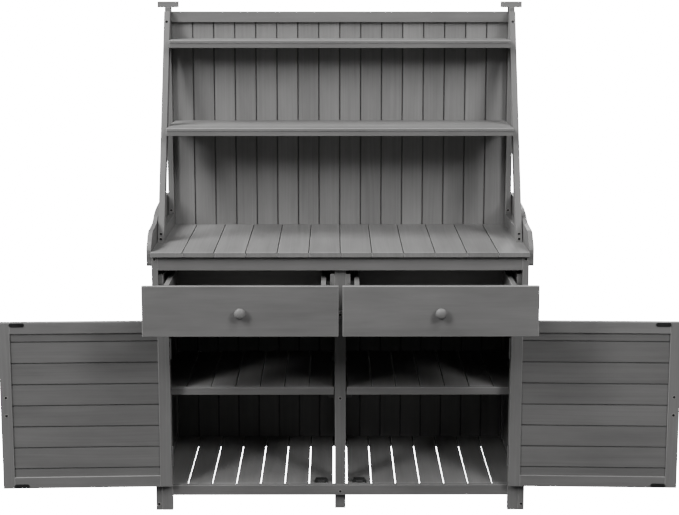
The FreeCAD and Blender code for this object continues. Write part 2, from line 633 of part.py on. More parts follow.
def drawer_screw_specs():
    """Knob screw, and the screws through the sides into the front and back."""
    inside = -DRAWER_FRONT_SEAT
    specs = [(V(KNOB_X, inside, knob_z()), -ALONG_Y, DRAWER_FRONT_T + KNOB_SCREW_GRIP - SCREW_SINK, 1.0)]
    for x, into in ((DRAWER_IN, ALONG_X), (DRAWER_OUT, -ALONG_X)):
        for z in (DRAWER_SIDE_Z + DRAWER_SIDE_H * 0.3, DRAWER_SIDE_Z + DRAWER_SIDE_H * 0.87):
            y = DRAWER_BOX_L - DRAWER_FRONT_SEAT - DRAWER_SIDE_T / 2
            specs.append((V(x, y, z), into, DRAWER_SIDE_T * 2.2, 0.8))
    return specs


# ---- doors ---------------------------------------------------------------------------------
def panel_groove(x0, x1, z0, z1):
    """Space that the panel and the tenons take in the frame."""
    return box(x0, x1, PANEL_FRONT, PANEL_FRONT + PANEL_T, z0, z1)


def door_stiles():
    """Upright pieces of the frame, grooved on their inner edges and let out for the leaves."""
    inner = DOOR_GAP + DOOR_STILE_W
    outer = DOOR_OUT - DOOR_STILE_W
    groove = panel_groove(inner - PANEL_HOUSING, outer + PANEL_HOUSING, DOOR_BOTTOM, DOOR_TOP)
    free = box(DOOR_GAP, inner, 0, FRAME_T, DOOR_BOTTOM, DOOR_TOP)
    hung = box(outer, DOOR_OUT, 0, FRAME_T, DOOR_BOTTOM, DOOR_TOP)
    hung = hung.cut([leaf_plate(z, DOOR_OUT, -LEAF_T) for z in hinge_heights()])
    return [free.cut(groove), hung.cut(groove)]


def door_rails():
    """Top and bottom pieces, tenoned into the stiles and grooved for the boards."""
    x0, x1 = DOOR_GAP + DOOR_STILE_W, DOOR_OUT - DOOR_STILE_W
    low, high = DOOR_BOTTOM + DOOR_RAIL_H, DOOR_TOP - DOOR_RAIL_H
    groove = panel_groove(x0 - PANEL_HOUSING, x1 + PANEL_HOUSING, low - PANEL_HOUSING, high + PANEL_HOUSING)
    rails = []
    for z0, z1 in ((DOOR_BOTTOM, low), (high, DOOR_TOP)):
        tenon = panel_groove(x0 - PANEL_HOUSING, x1 + PANEL_HOUSING, z0, z1)
        rails.append(box(x0, x1, 0, FRAME_T, z0, z1).fuse(tenon).removeSplitter().cut(groove))
    return rails


def door_boards():
    """Matchboard lying across the door: full boards with a cut one above and below."""
    low = DOOR_BOTTOM + DOOR_RAIL_H - PANEL_HOUSING + PANEL_SLACK
    high = DOOR_TOP - DOOR_RAIL_H + PANEL_HOUSING - PANEL_SLACK
    first = (low + high - PANEL_PITCH * PANEL_FULL_BOARDS) / 2
    edges = [low] + [first + PANEL_PITCH * k for k in range(PANEL_FULL_BOARDS + 1)] + [high]
    x0 = DOOR_GAP + DOOR_STILE_W - PANEL_HOUSING + PANEL_SLACK
    x1 = DOOR_OUT - DOOR_STILE_W + PANEL_HOUSING - PANEL_SLACK
    rows = board_row(edges, PANEL_T, both_faces=True)
    return [prism([(PANEL_FRONT + v, u) for u, v in outline], "x", x0, x1) for outline in rows]


def handle_middle():
    return DOOR_GAP + DOOR_STILE_W / 2, (DOOR_BOTTOM + DOOR_TOP) / 2 - HANDLE_DROP


def door_handle():
    """Bar pull on the outer face: two legs and a grip, rounded all over."""
    x, z = handle_middle()
    half, bar = HANDLE_L / 2, HANDLE_BAR
    grip = box(x - bar / 2, x + bar / 2, -HANDLE_REACH, -HANDLE_REACH + bar, z - half, z + half)
    grip = grip.makeFillet(bar * 0.28, grip.Edges)
    for way in (-1, 1):
        middle = z + way * HANDLE_SCREWS / 2
        leg = rod(bar * 0.42, HANDLE_REACH - bar / 2, V(x, -HANDLE_REACH + bar / 2, middle), ALONG_Y)
        grip = grip.fuse(leg)
    return grip.removeSplitter()


def strike_plates():
    """Round-ended steel plates on the inner face that the catches hold."""
    x, y = strike_x(), FRAME_T
    plates = []
    for z in (DOOR_BOTTOM + STRIKE_FROM_END, DOOR_TOP - STRIKE_FROM_END):
        half, r = STRIKE_L / 2, STRIKE_W / 2
        plate = box(x - half + r, x + half - r, y, y + STRIKE_T, z - r, z + r)
        for end in (x - half + r, x + half - r):
            plate = plate.fuse(rod(r, STRIKE_T, V(end, y, z), ALONG_Y))
        plates.append(plate.removeSplitter())
    return plates


def door_leaves():
    bore = PIN_R + PIN_FIT
    return [hinge_leaf(z, DOOR_OUT, -LEAF_T, range(1, KNUCKLES, 2), bore) for z in hinge_heights()]


def door_screw_specs():
    """Handle screws from the inside, strike screws and leaf screws."""
    x, z = handle_middle()
    specs = [(V(x, FRAME_T, z + way * HANDLE_SCREWS / 2), -ALONG_Y, FRAME_T + HANDLE_REACH * 0.45, 1.0)
             for way in (-1, 1)]
    for z in (DOOR_BOTTOM + STRIKE_FROM_END, DOOR_TOP - STRIKE_FROM_END):
        for way in (-1, 1):
            at = V(strike_x() + way * STRIKE_L * 0.32, FRAME_T + STRIKE_T, z)
            specs.append((at, -ALONG_Y, FRAME_T * 0.7, SMALL))
    for z in hinge_heights():
        for way in (-1, 0, 1):
            specs.append((leaf_screw_at(DOOR_OUT, z, way), -ALONG_X, FRAME_T, SMALL))
    return specs


def opened(shape):
    """A right-hand door piece, modelled shut, turned to where the doors stand open."""
    turned = shape.copy()
    turned.rotate(V(HINGE_X, -AXIS_FORWARD, 0), UP, DOOR_OPEN)
    return turned


# ---- screws of the frame -------------------------------------------------------------------
def frame_screw_specs():
    """Right-hand screws of the standing frame: place, direction, length, size."""
    post_x = (FRONT_IN + HALF) / 2
    rear_x = (REAR_IN + REAR_OUT) / 2
    sink = V(0, BRACE_SCREW_SINK, 0)
    specs = [(V(post_x, 0, UNDER_TOP - POST_SCREW_DROP), ALONG_Y, POST_D * 1.5, 1.0)]
    specs.append((V(post_x, 0, FOOT_SCREW_Z), ALONG_Y, POST_D * 0.7, 1.0))
    for rise in BRACE_SCREW_RISES:
        specs.append((V(rear_x, brace_face(WORKTOP_TOP + rise), WORKTOP_TOP + rise) + sink, ALONG_Y,
                      BRACE_W * 1.5, 1.0))
    head_z = POST_TOP - HEAD_SCREW_DROP
    specs.append((V(rear_x, brace_face(head_z), head_z) + sink, ALONG_Y, POST_D * 1.4, 1.0))
    low_z = WORKTOP_TOP + RAIL_DEEP + REAR_SCREW_UP
    specs.append((V(rear_x, REAR_POST_Y, low_z), ALONG_Y, POST_D * 0.8, 1.0))
    guard_places = (POST_D * 0.5, BRACE_FOOT + BRACE_W * 0.7, DEPTH - POST_D * 0.4)
    for y, rise in zip(guard_places, GUARD_SCREW_RISES):
        specs.append((V(HALF + GUARD_T, y, WORKTOP_TOP + rise), -ALONG_X, GUARD_T + POST_T * 0.4, 1.0))
    shelf_screw = V(REAR_IN - BATTEN / 2, BACK_FACE - SHELF_SCREW_IN, MAIN_SHELF_TOP)
    specs.append((shelf_screw, -UP, HUTCH_SHELF_T + HUTCH_RAIL_H * 0.7, 1.0))
    for z in hinge_heights():
        for way in (-1, 0, 1):
            specs.append((leaf_screw_at(STILE_IN, z, way), ALONG_X, FRAME_T, SMALL))
    return specs


def leaf_screw_at(face_x, z, way):
    """Place of one of a leaf's three screws."""
    return V(face_x, LEAF_W * 0.62, z + way * HINGE_L * 0.34)


def brace_face(z):
    """Front edge of a brace at a height."""
    return BRACE_FOOT + brace_slope() * (z - WORKTOP_TOP)


def centre_screw_specs():
    """Screws on the centre line, through the rails into the centre post."""
    specs = [(V(0, 0, z), ALONG_Y, POST_D * 0.8, 1.0)
             for z in (BOTTOM_RAIL_Z + FRAME_W * 0.37, DRAWER_RAIL_Z + DRAWER_RAIL_H / 2)]
    bearer = MIDDLE_SHELF_TOP - SHELF_RAIL_H - BEARER_H / 2
    specs.append((V(0, CENTRE_Y, bearer), ALONG_Y, POST_D + BATTEN, 1.0))
    return specs


# ---- everything, node by node --------------------------------------------------------------
def build():
    """All nodes: a name and its solids, in the place where they stand."""
    frame_specs = frame_screw_specs()
    bores = [b for spec in frame_specs for b in pair(screw_bore(*spec))]
    bores += [screw_bore(*spec) for spec in centre_screw_specs()]
    screws = [s for spec in frame_specs for s in pair(screw(*spec))]
    screws += [screw(*spec) for spec in centre_screw_specs()]
    joint = UNDER_TOP - BOARD_JOINT_GAP
    bench = {
        "front_posts": front_posts(),
        "rear_posts": rear_posts(),
        "front_stiles": front_stiles(),
        "centre_posts": centre_posts(),
        "front_apron": front_apron(),
        "drawer_rail": drawer_rail(),
        "bottom_front_rail": bottom_front_rail(),
        "side_rails": side_rails(),
        "side_boards": side_boards(),
        "cabinet_back_boards": back_boards(BOTTOM_RAIL_Z, joint),
        "back_battens": back_battens(),
        "bottom_slats": bay_slats(FRAME_T, BACK_FACE, SLAT_TOP),
        "bottom_ledgers": bottom_ledgers(),
        "middle_shelf_rails": middle_shelf_rails(),
        "middle_slats": middle_slats(),
        "shelf_bearers": shelf_bearers(),
        "catch_battens": catch_battens(),
        "drawer_runners": drawer_runners(),
        "worktop_battens": worktop_battens(),
        "worktop_boards": worktop_boards(),
        "side_guards": side_guards(),
        "hutch_braces": braces(),
        "hutch_foot_rails": foot_rails(),
        "hutch_back_boards": back_boards(joint + BOARD_JOINT_GAP, POST_TOP - TOP_RAIL_DROP),
        "hutch_shelf_boards": (shelf_boards(MAIN_SHELF_TOP, MAIN_SHELF_FRONT, MAIN_SHELF_BOARDS)
                               + shelf_boards(TOP_SHELF_TOP, TOP_SHELF_FRONT, TOP_SHELF_BOARDS)),
        "hutch_rails": hutch_rails(),
        "hutch_shelf_bearers": hutch_shelf_bearers(),
        "post_caps": post_caps(),
        "frame_hinge_leaves": frame_leaves(),
    }
    nodes = {name: drilled(shapes, bores) for name, shapes in bench.items()}
    nodes["frame_screws"] = screws
    nodes["hinge_pins"] = hinge_pins()
    nodes["slide_outer_members"] = slide_outer()
    nodes["catch_housings"] = catch_housings()
    nodes["catch_magnets"] = catch_magnets()
    nodes.update(drawer_nodes())
    nodes.update(door_nodes())
    return nodes


def drawer_nodes():
    """Right-hand drawer pieces, run out, and their left-hand twins."""
    bores = [screw_bore(*spec) for spec in drawer_screw_specs()]
    pieces = {
        "front": drilled([drawer_front()], bores),
        "box": drilled(drawer_box(), bores),
        "bottom": [drawer_bottom()],
        "knob": [drawer_knob()],
        "screws": [screw(*spec) for spec in drawer_screw_specs()],
    }
    nodes = {}
    for name, shapes in pieces.items():
        out = [shape.translated(DRAWER_SHIFT) for shape in shapes]
        nodes["right_drawer_" + name] = out
        nodes["left_drawer_" + name] = [mirrored(shape) for shape in out]
    for name, shapes in (("slide_inner", slide_inner()), ("slide_middle", slide_middle())):
        nodes["right_" + name] = shapes
        nodes["left_" + name] = [mirrored(shape) for shape in shapes]
    return nodes


def door_nodes():
    """Right-hand door pieces, opened, and their left-hand twins."""
    bores = [screw_bore(*spec) for spec in door_screw_specs()]
    pieces = {
        "frame": door_stiles() + door_rails(),
        "boards": door_boards(),
        "handle": [door_handle()],
        "strike_plates": strike_plates(),
        "hinge_leaves": door_leaves(),
    }
    pieces = {name: drilled(shapes, bores) for name, shapes in pieces.items()}
    pieces["screws"] = [screw(*spec) for spec in door_screw_specs()]
    nodes = {}
    for name, shapes in pieces.items():
        out = [opened(shape) for shape in shapes]
        nodes["right_door_" + name] = out
        nodes["left_door_" + name] = [mirrored(shape) for shape in out]
    return nodes


os.makedirs("parts", exist_ok=True)
for node, solids in build().items():
    placed = [solid.translated(V(0, -ORIGIN_Y, 0)) for solid in solids]
    Part.makeCompound(placed).exportStep("parts/%s.step" % node)
print("hinge axis at x %.3f y %.3f" % (HINGE_X, -AXIS_FORWARD - ORIGIN_Y))
print("origin behind the posts' front face by %.3f" % ORIGIN_Y)
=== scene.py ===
"""Visual model of a stained potting bench: rounded timber, turned knobs, slides, hinges and catches.

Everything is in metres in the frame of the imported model: +X to the right, +Y to the back, +Z up.
"""
from __future__ import annotations

import json
import logging
import math
from dataclasses import dataclass, field
from enum import Enum
from typing import Any, Sequence

import bmesh
import bpy
import numpy as np
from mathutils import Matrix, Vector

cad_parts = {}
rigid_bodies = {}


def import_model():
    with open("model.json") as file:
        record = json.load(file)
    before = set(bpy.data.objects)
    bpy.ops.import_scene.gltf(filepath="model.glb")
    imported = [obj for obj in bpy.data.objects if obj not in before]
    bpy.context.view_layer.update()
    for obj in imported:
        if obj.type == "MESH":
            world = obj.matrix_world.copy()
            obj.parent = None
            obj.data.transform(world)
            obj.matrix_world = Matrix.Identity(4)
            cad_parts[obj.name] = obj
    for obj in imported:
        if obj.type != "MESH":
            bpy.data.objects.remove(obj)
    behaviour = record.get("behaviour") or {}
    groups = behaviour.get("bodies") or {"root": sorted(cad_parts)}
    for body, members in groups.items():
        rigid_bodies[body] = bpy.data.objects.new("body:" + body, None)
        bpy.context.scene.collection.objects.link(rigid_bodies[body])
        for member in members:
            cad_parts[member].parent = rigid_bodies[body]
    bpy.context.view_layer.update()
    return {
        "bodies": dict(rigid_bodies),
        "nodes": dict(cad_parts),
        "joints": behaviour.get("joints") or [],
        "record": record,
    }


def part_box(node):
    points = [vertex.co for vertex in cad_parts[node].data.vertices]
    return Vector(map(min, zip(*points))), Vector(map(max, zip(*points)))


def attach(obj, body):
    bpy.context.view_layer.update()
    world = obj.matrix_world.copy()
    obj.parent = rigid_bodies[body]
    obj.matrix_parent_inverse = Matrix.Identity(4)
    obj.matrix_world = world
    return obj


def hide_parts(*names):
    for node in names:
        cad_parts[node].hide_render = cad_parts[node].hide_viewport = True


LOG = logging.getLogger("bench")
Frame = dict[str, Any]
MM = 0.001
LOG_SPREAD = np.array([40.0, 9.0, 9.0])     # how far apart in the grain boards are taken from, metres
FLAT = 0.1 * MM                             # points this near a screw's end lie on its face


# ---- shader maths ---------------------------------------------------------------------------
class Wire:
    """An output socket that adds nodes when it is used in arithmetic."""

    def __init__(self, shader: "Shader", socket: bpy.types.NodeSocket) -> None:
        """Keeps the socket and the tree that it is in.

        Args:
            shader: The tree.
            socket: The output.
        """
        self.shader = shader
        self.socket = socket

    def _math(self, operation: str, *values: "Wire | float", clamp: bool = False) -> "Wire":
        """Adds a Math node.

        Args:
            operation: What it works out.
            values: Its inputs in order.
            clamp: Whether the result stays from 0 to 1.

        Returns:
            The result.
        """
        settings = {"operation": operation, "use_clamp": clamp}
        return self.shader.node("ShaderNodeMath", settings, dict(enumerate(values)))

    def __add__(self, other: "Wire | float") -> "Wire":
        """Sum."""
        return self._math("ADD", self, other)

    def __sub__(self, other: "Wire | float") -> "Wire":
        """Difference."""
        return self._math("SUBTRACT", self, other)

    def __rsub__(self, other: "Wire | float") -> "Wire":
        """Difference, this one taken away."""
        return self._math("SUBTRACT", other, self)

    def __mul__(self, other: "Wire | float") -> "Wire":
        """Product."""
        return self._math("MULTIPLY", self, other)

    __radd__ = __add__
    __rmul__ = __mul__

    def clamped(self) -> "Wire":
        """Held from 0 to 1."""
        return self._math("ADD", self, 0.0, clamp=True)

    def step(self, low: float, high: float) -> "Wire":
        """Smooth rise from 0 at low to 1 at high, or a fall where low is the greater.

        Args:
            low: Where the result is 0.
            high: Where the result is 1.

        Returns:
            The result.
        """
        settings = {"interpolation_type": "SMOOTHSTEP"}
        ends = {"Value": self, "From Min": min(low, high), "From Max": max(low, high)}
        ends.update({"To Min": 0.0 if low < high else 1.0, "To Max": 1.0 if low < high else 0.0})
        return self.shader.node("ShaderNodeMapRange", settings, ends)


class Shader:
    """One material's node tree."""

    def __init__(self, name: str) -> None:
        """Makes an empty material with an output.

        Args:
            name: The material's name.
        """
        self.material = bpy.data.materials.new(name)
        self.material.use_nodes = True
        self.tree = self.material.node_tree
        self.tree.nodes.clear()
        self.output = self.tree.nodes.new("ShaderNodeOutputMaterial")

    def node(self, kind: str, settings: dict[str, Any], sockets: dict[Any, Any], out: Any = 0) -> Wire:
        """Adds a node, sets it up and joins its inputs.

        Args:
            kind: The node's type.
            settings: Its properties, set before its sockets; "stops" fills a colour ramp.
            sockets: Input name or number, to a value or a Wire.
            out: Which output to return.

        Returns:
            The chosen output.
        """
        made = self.tree.nodes.new(kind)
        for name, value in settings.items():
            if name == "stops":
                ramp = made.color_ramp
                while len(ramp.elements) < len(value):
                    ramp.elements.new(1.0)
                for element, (place, colour) in zip(ramp.elements, value):
                    element.position = place
                    element.color = (*colour, 1.0)
            else:
                setattr(made, name, value)
        for key, value in sockets.items():
            if isinstance(value, Wire):
                self.tree.links.new(value.socket, made.inputs[key])
            else:
                made.inputs[key].default_value = value
        return Wire(self, made.outputs[out])

    def attribute(self, name: str, out: str) -> Wire:
        """A mesh attribute of the piece."""
        return self.node("ShaderNodeAttribute", {"attribute_name": name}, {}, out)

    def stretched(self, place: Wire, by: Sequence[float]) -> Wire:
        """A position with each axis multiplied."""
        return self.node("ShaderNodeVectorMath", {"operation": "MULTIPLY"}, {0: place, 1: tuple(by)})

    def noise(self, place: Wire, by: Sequence[float], detail: float, roughness: float = 0.5) -> Wire:
        """Noise over a stretched position.

        Args:
            place: The position.
            by: Cells for each metre along each axis.
            detail: Octaves.
            roughness: Strength of the finer ones.

        Returns:
            A value near 0.5.
        """
        sockets = {"Vector": self.stretched(place, by), "Scale": 1.0,
                   "Detail": detail, "Roughness": roughness}
        return self.node("ShaderNodeTexNoise", {}, sockets, "Fac")

    def ramp(self, value: Wire, stops: Sequence[tuple[float, Sequence[float]]]) -> Wire:
        """Colours along a value."""
        return self.node("ShaderNodeValToRGB", {"stops": stops}, {"Fac": value}, "Color")

    def mix(self, factor: Wire | float, a: Any, b: Any, blend: str = "MIX") -> Wire:
        """Mixes two colours.

        Args:
            factor: Share of the second.
            a: First colour.
            b: Second colour.
            blend: How they are combined.

        Returns:
            The colour.
        """
        settings = {"data_type": "RGBA", "blend_type": blend}
        return self.node("ShaderNodeMix", settings, {0: factor, 6: a, 7: b}, 2)

    def finish(self, surface: dict[str, Any], height: Wire | None = None,
               depth: float = 0.0) -> bpy.types.Material:
        """Closes the tree with a Principled surface.

        Args:
            surface: The surface's sockets.
            height: Relief, if any.
            depth: Height of the relief in metres.

        Returns:
            The material.
        """
        sockets = dict(surface)
        if height is not None:
            relief = {"Strength": 1.0, "Distance": depth, "Height": height}
            sockets["Normal"] = self.node("ShaderNodeBump", {}, relief)
        made = self.node("ShaderNodeBsdfPrincipled", {}, sockets)
        self.tree.links.new(made.socket, self.output.inputs["Surface"])
        return self.material


def grey(value: float, warmth: float = 0.0) -> tuple[float, float, float, float]:
    """A near-neutral colour.

    Args:
        value: Its lightness, linear.
        warmth: Share added to red and taken from blue.

    Returns:
        Red, green, blue and alpha.
    """
    return (value * (1 + warmth), value, value * (1 - warmth), 1.0)


# ---- finishes -------------------------------------------------------------------------------
@dataclass(frozen=True)
class StainedWood:
    """Thin grey stain over fir: fibres, growth lines and knots, paler edges that are partly worn stain and
    partly a painted highlight, and joints darkened partly by painted shade and partly by gathered stain.
    """

    name: str
    tone: float = 0.2
    spread: float = 0.26
    board_spread: float = 0.12
    warmth: float = 0.01
    edge_lift: float = 0.9
    knots: float = 1.0
    contrast: float = 2.6
    line_share: float = 0.55
    cloud_share: float = 0.75
    fibre_share: float = 0.2
    seam_dark: float = 0.72
    ring_dark: float = 0.18
    core_dark: float = 0.42
    relief: float = 0.25 * MM

    def material(self, worn_and_lit: bool = False) -> bpy.types.Material:
        """Builds the material.

        Args:
            worn_and_lit: Whether the whole of it is a paler edge: worn stain and a painted highlight.

        Returns:
            The material.
        """
        sh = Shader(self.name + ("_edge" if worn_and_lit else ""))
        grain = sh.attribute("grain", "Vector")
        board = sh.attribute("board", "Fac")
        edge = sh.attribute("edge", "Fac")
        drift = sh.noise(grain, (1.1, 9.0, 9.0), 2.0)
        bent = sh.node("ShaderNodeVectorMath", {"operation": "MULTIPLY_ADD"},
                       {0: sh.node("ShaderNodeCombineXYZ", {}, {"Y": drift - 0.5}),
                        1: (0.0, 0.05, 0.0), 2: grain})
        lines = sh.noise(bent, (1.6, 150.0, 40.0), 3.0, 0.6)
        fibres = sh.noise(grain, (14.0, 900.0, 500.0), 3.0, 0.7)
        clouds = sh.noise(grain, (3.0, 12.0, 12.0), 4.0, 0.6)
        cells = {"Vector": sh.stretched(grain, (1.7, 7.0, 3.0)), "Scale": 1.0, "Randomness": 1.0}
        eye = sh.node("ShaderNodeTexVoronoi", {"feature": "F1"}, cells, "Distance")
        chance = sh.node("ShaderNodeTexVoronoi", {"feature": "F1"}, cells, "Color")
        rare = sh.node("ShaderNodeSeparateColor", {}, {"Color": chance}, "Red").step(0.62, 0.66)
        ring = eye.step(0.16, 0.05) * rare * self.knots
        core = eye.step(0.075, 0.045) * rare * self.knots
        figure = ((lines - 0.5) * self.line_share + (clouds - 0.5) * self.cloud_share
                  + (fibres - 0.5) * self.fibre_share)
        seam = sh.attribute("seam", "Fac")
        shade = 1.0 + figure * (self.spread * self.contrast) + (board - 0.5) * self.board_spread
        # Joint faces darkened: painted shade in the V-grooves between boards, partly stain gathered there.
        shade = shade * (1.0 - seam * self.seam_dark)
        shade = shade * (1.0 - ring * self.ring_dark) * (1.0 - core * self.core_dark)
        # Paler along the rounded arrises: worn stain and a painted highlight where the edges would catch the
        # light.
        shade = shade * (1.0 + (self.edge_lift if worn_and_lit else edge * self.edge_lift))
        colour = sh.mix(1.0, grey(self.tone, self.warmth), sh.node(
            "ShaderNodeCombineColor", {}, {"Red": shade, "Green": shade, "Blue": shade}), "MULTIPLY")
        rough = (0.52 + (fibres - 0.5) * 0.25 + (clouds - 0.5) * 0.12).clamped()
        height = lines * 0.6 + fibres * 0.5 - core * 0.8
        surface = {"Base Color": colour, "Roughness": rough, "Specular IOR Level": 0.35}
        return sh.finish(surface, height, self.relief)


@dataclass(frozen=True)
class PlatedSteel:
    """Zinc-plated sheet: bright, with a faint crystal pattern and fine drawn lines."""

    name: str
    tone: float = 0.62

    def material(self) -> bpy.types.Material:
        """Builds the material."""
        sh = Shader(self.name)
        place = sh.node("ShaderNodeTexCoord", {}, {}, "Object")
        lines = sh.noise(place, (900.0, 25.0, 900.0), 2.0, 0.6)
        bloom = sh.noise(place, (60.0, 60.0, 60.0), 3.0, 0.55)
        colour = sh.ramp(bloom, ((0.3, grey(self.tone * 0.8)[:3]), (0.7, grey(self.tone)[:3])))
        rough = (0.26 + lines * 0.14 + bloom * 0.08).clamped()
        return sh.finish({"Base Color": colour, "Metallic": 1.0, "Roughness": rough}, lines, 0.02 * MM)


@dataclass(frozen=True)
class DarkCoat:
    """Black coating on steel or black moulded plastic: fine texture, dull on the high spots."""

    name: str
    tone: float = 0.012
    roughness: float = 0.4
    texture: float = 1400.0
    metallic: float = 0.0

    def material(self) -> bpy.types.Material:
        """Builds the material."""
        sh = Shader(self.name)
        place = sh.node("ShaderNodeTexCoord", {}, {}, "Object")
        pebble = sh.noise(place, (self.texture,) * 3, 2.0, 0.5)
        dust = sh.noise(place, (45.0,) * 3, 4.0, 0.6)
        colour = sh.ramp(dust, ((0.35, grey(self.tone)[:3]), (0.8, grey(self.tone * 2.2)[:3])))
        rough = (self.roughness + (dust - 0.5) * 0.3).clamped()
        surface = {"Base Color": colour, "Roughness": rough, "Metallic": self.metallic}
        return sh.finish(surface, pebble, 0.04 * MM)


@dataclass(frozen=True)
class RawRim:
    """Pale torn fibres round a countersunk screw."""

    name: str
    tone: float = 0.5

    def material(self) -> bpy.types.Material:
        """Builds the material."""
        sh = Shader(self.name)
        place = sh.node("ShaderNodeTexCoord", {}, {}, "Object")
        torn = sh.noise(place, (1500.0,) * 3, 3.0, 0.7)
        colour = sh.ramp(torn, ((0.35, grey(self.tone * 0.55, 0.03)[:3]), (0.65, grey(self.tone, 0.04)[:3])))
        return sh.finish({"Base Color": colour, "Roughness": 0.85}, torn, 0.1 * MM)


@dataclass(frozen=True)
class FloorPaper:
    """Seamless white paper that glows, so that it shows plain white."""

    name: str
    tone: float = 0.86
    glow: float = 18.0

    def material(self) -> bpy.types.Material:
        """Builds the material."""
        sh = Shader(self.name)
        place = sh.node("ShaderNodeTexCoord", {}, {}, "Object")
        tooth = sh.noise(place, (2.0,) * 3, 3.0, 0.5)
        colour = sh.ramp(tooth, ((0.2, grey(self.tone * 0.99)[:3]), (0.8, grey(self.tone)[:3])))
        surface = {"Base Color": colour, "Roughness": 0.9, "Emission Color": grey(1.0),
                   "Emission Strength": self.glow}
        return sh.finish(surface, tooth, 0.02 * MM)


class Finish(Enum):
    """Every finish on the bench."""

    FRAME = StainedWood("stain_on_frame", tone=0.17)
    BOARDS = StainedWood("stain_on_boards", tone=0.2)
    MATCH = StainedWood("stain_on_matchboard", tone=0.15)
    # The hutch's back boards are the same matchboard as MATCH; their lighter tone is painted light.
    HUTCH = StainedWood("stain_on_hutch_back", tone=0.21)
    PANEL = StainedWood("stain_on_thin_panel", tone=0.17, knots=0.0)
    ZINC = PlatedSteel("zinc_plate")
    SCREW = DarkCoat("black_screw", tone=0.004, roughness=0.55)
    PLATE = DarkCoat("black_plate", tone=0.012, roughness=0.38)
    PLASTIC = DarkCoat("black_plastic", tone=0.016, roughness=0.5, texture=2200.0)
    MAGNET = PlatedSteel("magnet_steel", tone=0.3)
    RIM = RawRim("torn_rim", tone=0.42)
    FLOOR = FloorPaper("floor_paper")


class Palette:
    """Makes each finish's material once."""

    def __init__(self) -> None:
        """Starts with none made."""
        self._made: dict[str, bpy.types.Material] = {}

    def get(self, finish: Finish, worn_and_lit: bool = False) -> bpy.types.Material:
        """The material of a finish.

        Args:
            finish: Which one.
            worn_and_lit: Whether it is for the paler edges: worn stain and a painted highlight.

        Returns:
            The material.
        """
        key = finish.name + str(worn_and_lit)
        if key not in self._made:
            self._made[key] = finish.value.material(True) if worn_and_lit else finish.value.material()
        return self._made[key]


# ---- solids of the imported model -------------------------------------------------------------
@dataclass(frozen=True)
class Turn:
    """A turn about an upright axis, which takes a door from where it stands to where it shuts."""

    pivot: tuple[float, float, float] = (0.0, 0.0, 0.0)
    angle: float = 0.0

    def apply(self, points: np.ndarray, back: bool = False, places: bool = True) -> np.ndarray:
        """Turns points or directions.

        Args:
            points: Rows of x, y, z.
            back: Whether to undo the turn.
            places: False for directions, which don't move with the pivot.

        Returns:
            The turned rows: x' = x cos - y sin, y' = x sin + y cos about the pivot.
        """
        angle = -self.angle if back else self.angle
        c, s = math.cos(angle), math.sin(angle)
        pivot = np.array(self.pivot if places else (0.0, 0.0, 0.0))
        return (points - pivot) @ np.array([[c, s, 0.0], [-s, c, 0.0], [0.0, 0.0, 1.0]]) + pivot


@dataclass
class Solids:
    """A CAD node's mesh with its vertices merged, and which solid each triangle is part of."""

    points: np.ndarray
    triangles: np.ndarray
    owner: np.ndarray

    @classmethod
    def of(cls, node: bpy.types.Object, turn: Turn) -> "Solids":
        """Reads a node.

        Args:
            node: The CAD object.
            turn: Applied to every point.

        Returns:
            Its solids, found by passing the lowest label across edges that two triangles share.
        """
        mesh = node.data
        raw = np.empty(len(mesh.vertices) * 3)
        mesh.vertices.foreach_get("co", raw)
        corner = np.empty(len(mesh.loops), int)
        mesh.loops.foreach_get("vertex_index", corner)
        points, index = np.unique(np.round(raw.reshape(-1, 3), 6), axis=0, return_inverse=True)
        triangles = index.reshape(-1)[corner].reshape(-1, 3)
        edges = np.sort(triangles[:, [0, 1, 1, 2, 2, 0]].reshape(-1, 2), axis=1)
        _, which, counts = np.unique(edges, axis=0, return_inverse=True, return_counts=True)
        which = which.reshape(-1)
        order = np.argsort(which, kind="stable")
        first = np.concatenate(([0], np.cumsum(counts)[:-1]))[counts == 2]
        a, b = order[first] // 3, order[first + 1] // 3
        label = np.arange(len(triangles))
        while True:
            low = np.minimum(label[a], label[b])
            grown = label.copy()
            np.minimum.at(grown, a, low)
            np.minimum.at(grown, b, low)
            grown = grown[grown]
            if np.array_equal(grown, label):
                break
            label = grown
        _, owner = np.unique(label, return_inverse=True)
        return cls(turn.apply(points), triangles, owner.reshape(-1))

    def boxes(self) -> tuple[np.ndarray, np.ndarray]:
        """Lowest and highest corner of each solid."""
        corners = self.points[self.triangles].reshape(-1, 3)
        who = np.repeat(self.owner, 3)
        count = self.owner.max() + 1
        low, high = np.full((count, 3), np.inf), np.full((count, 3), -np.inf)
        np.minimum.at(low, who, corners)
        np.maximum.at(high, who, corners)
        return low, high

    def split(self) -> list[np.ndarray]:
        """Points of each solid."""
        return [self.points[np.unique(self.triangles[self.owner == k])] for k in range(self.owner.max() + 1)]


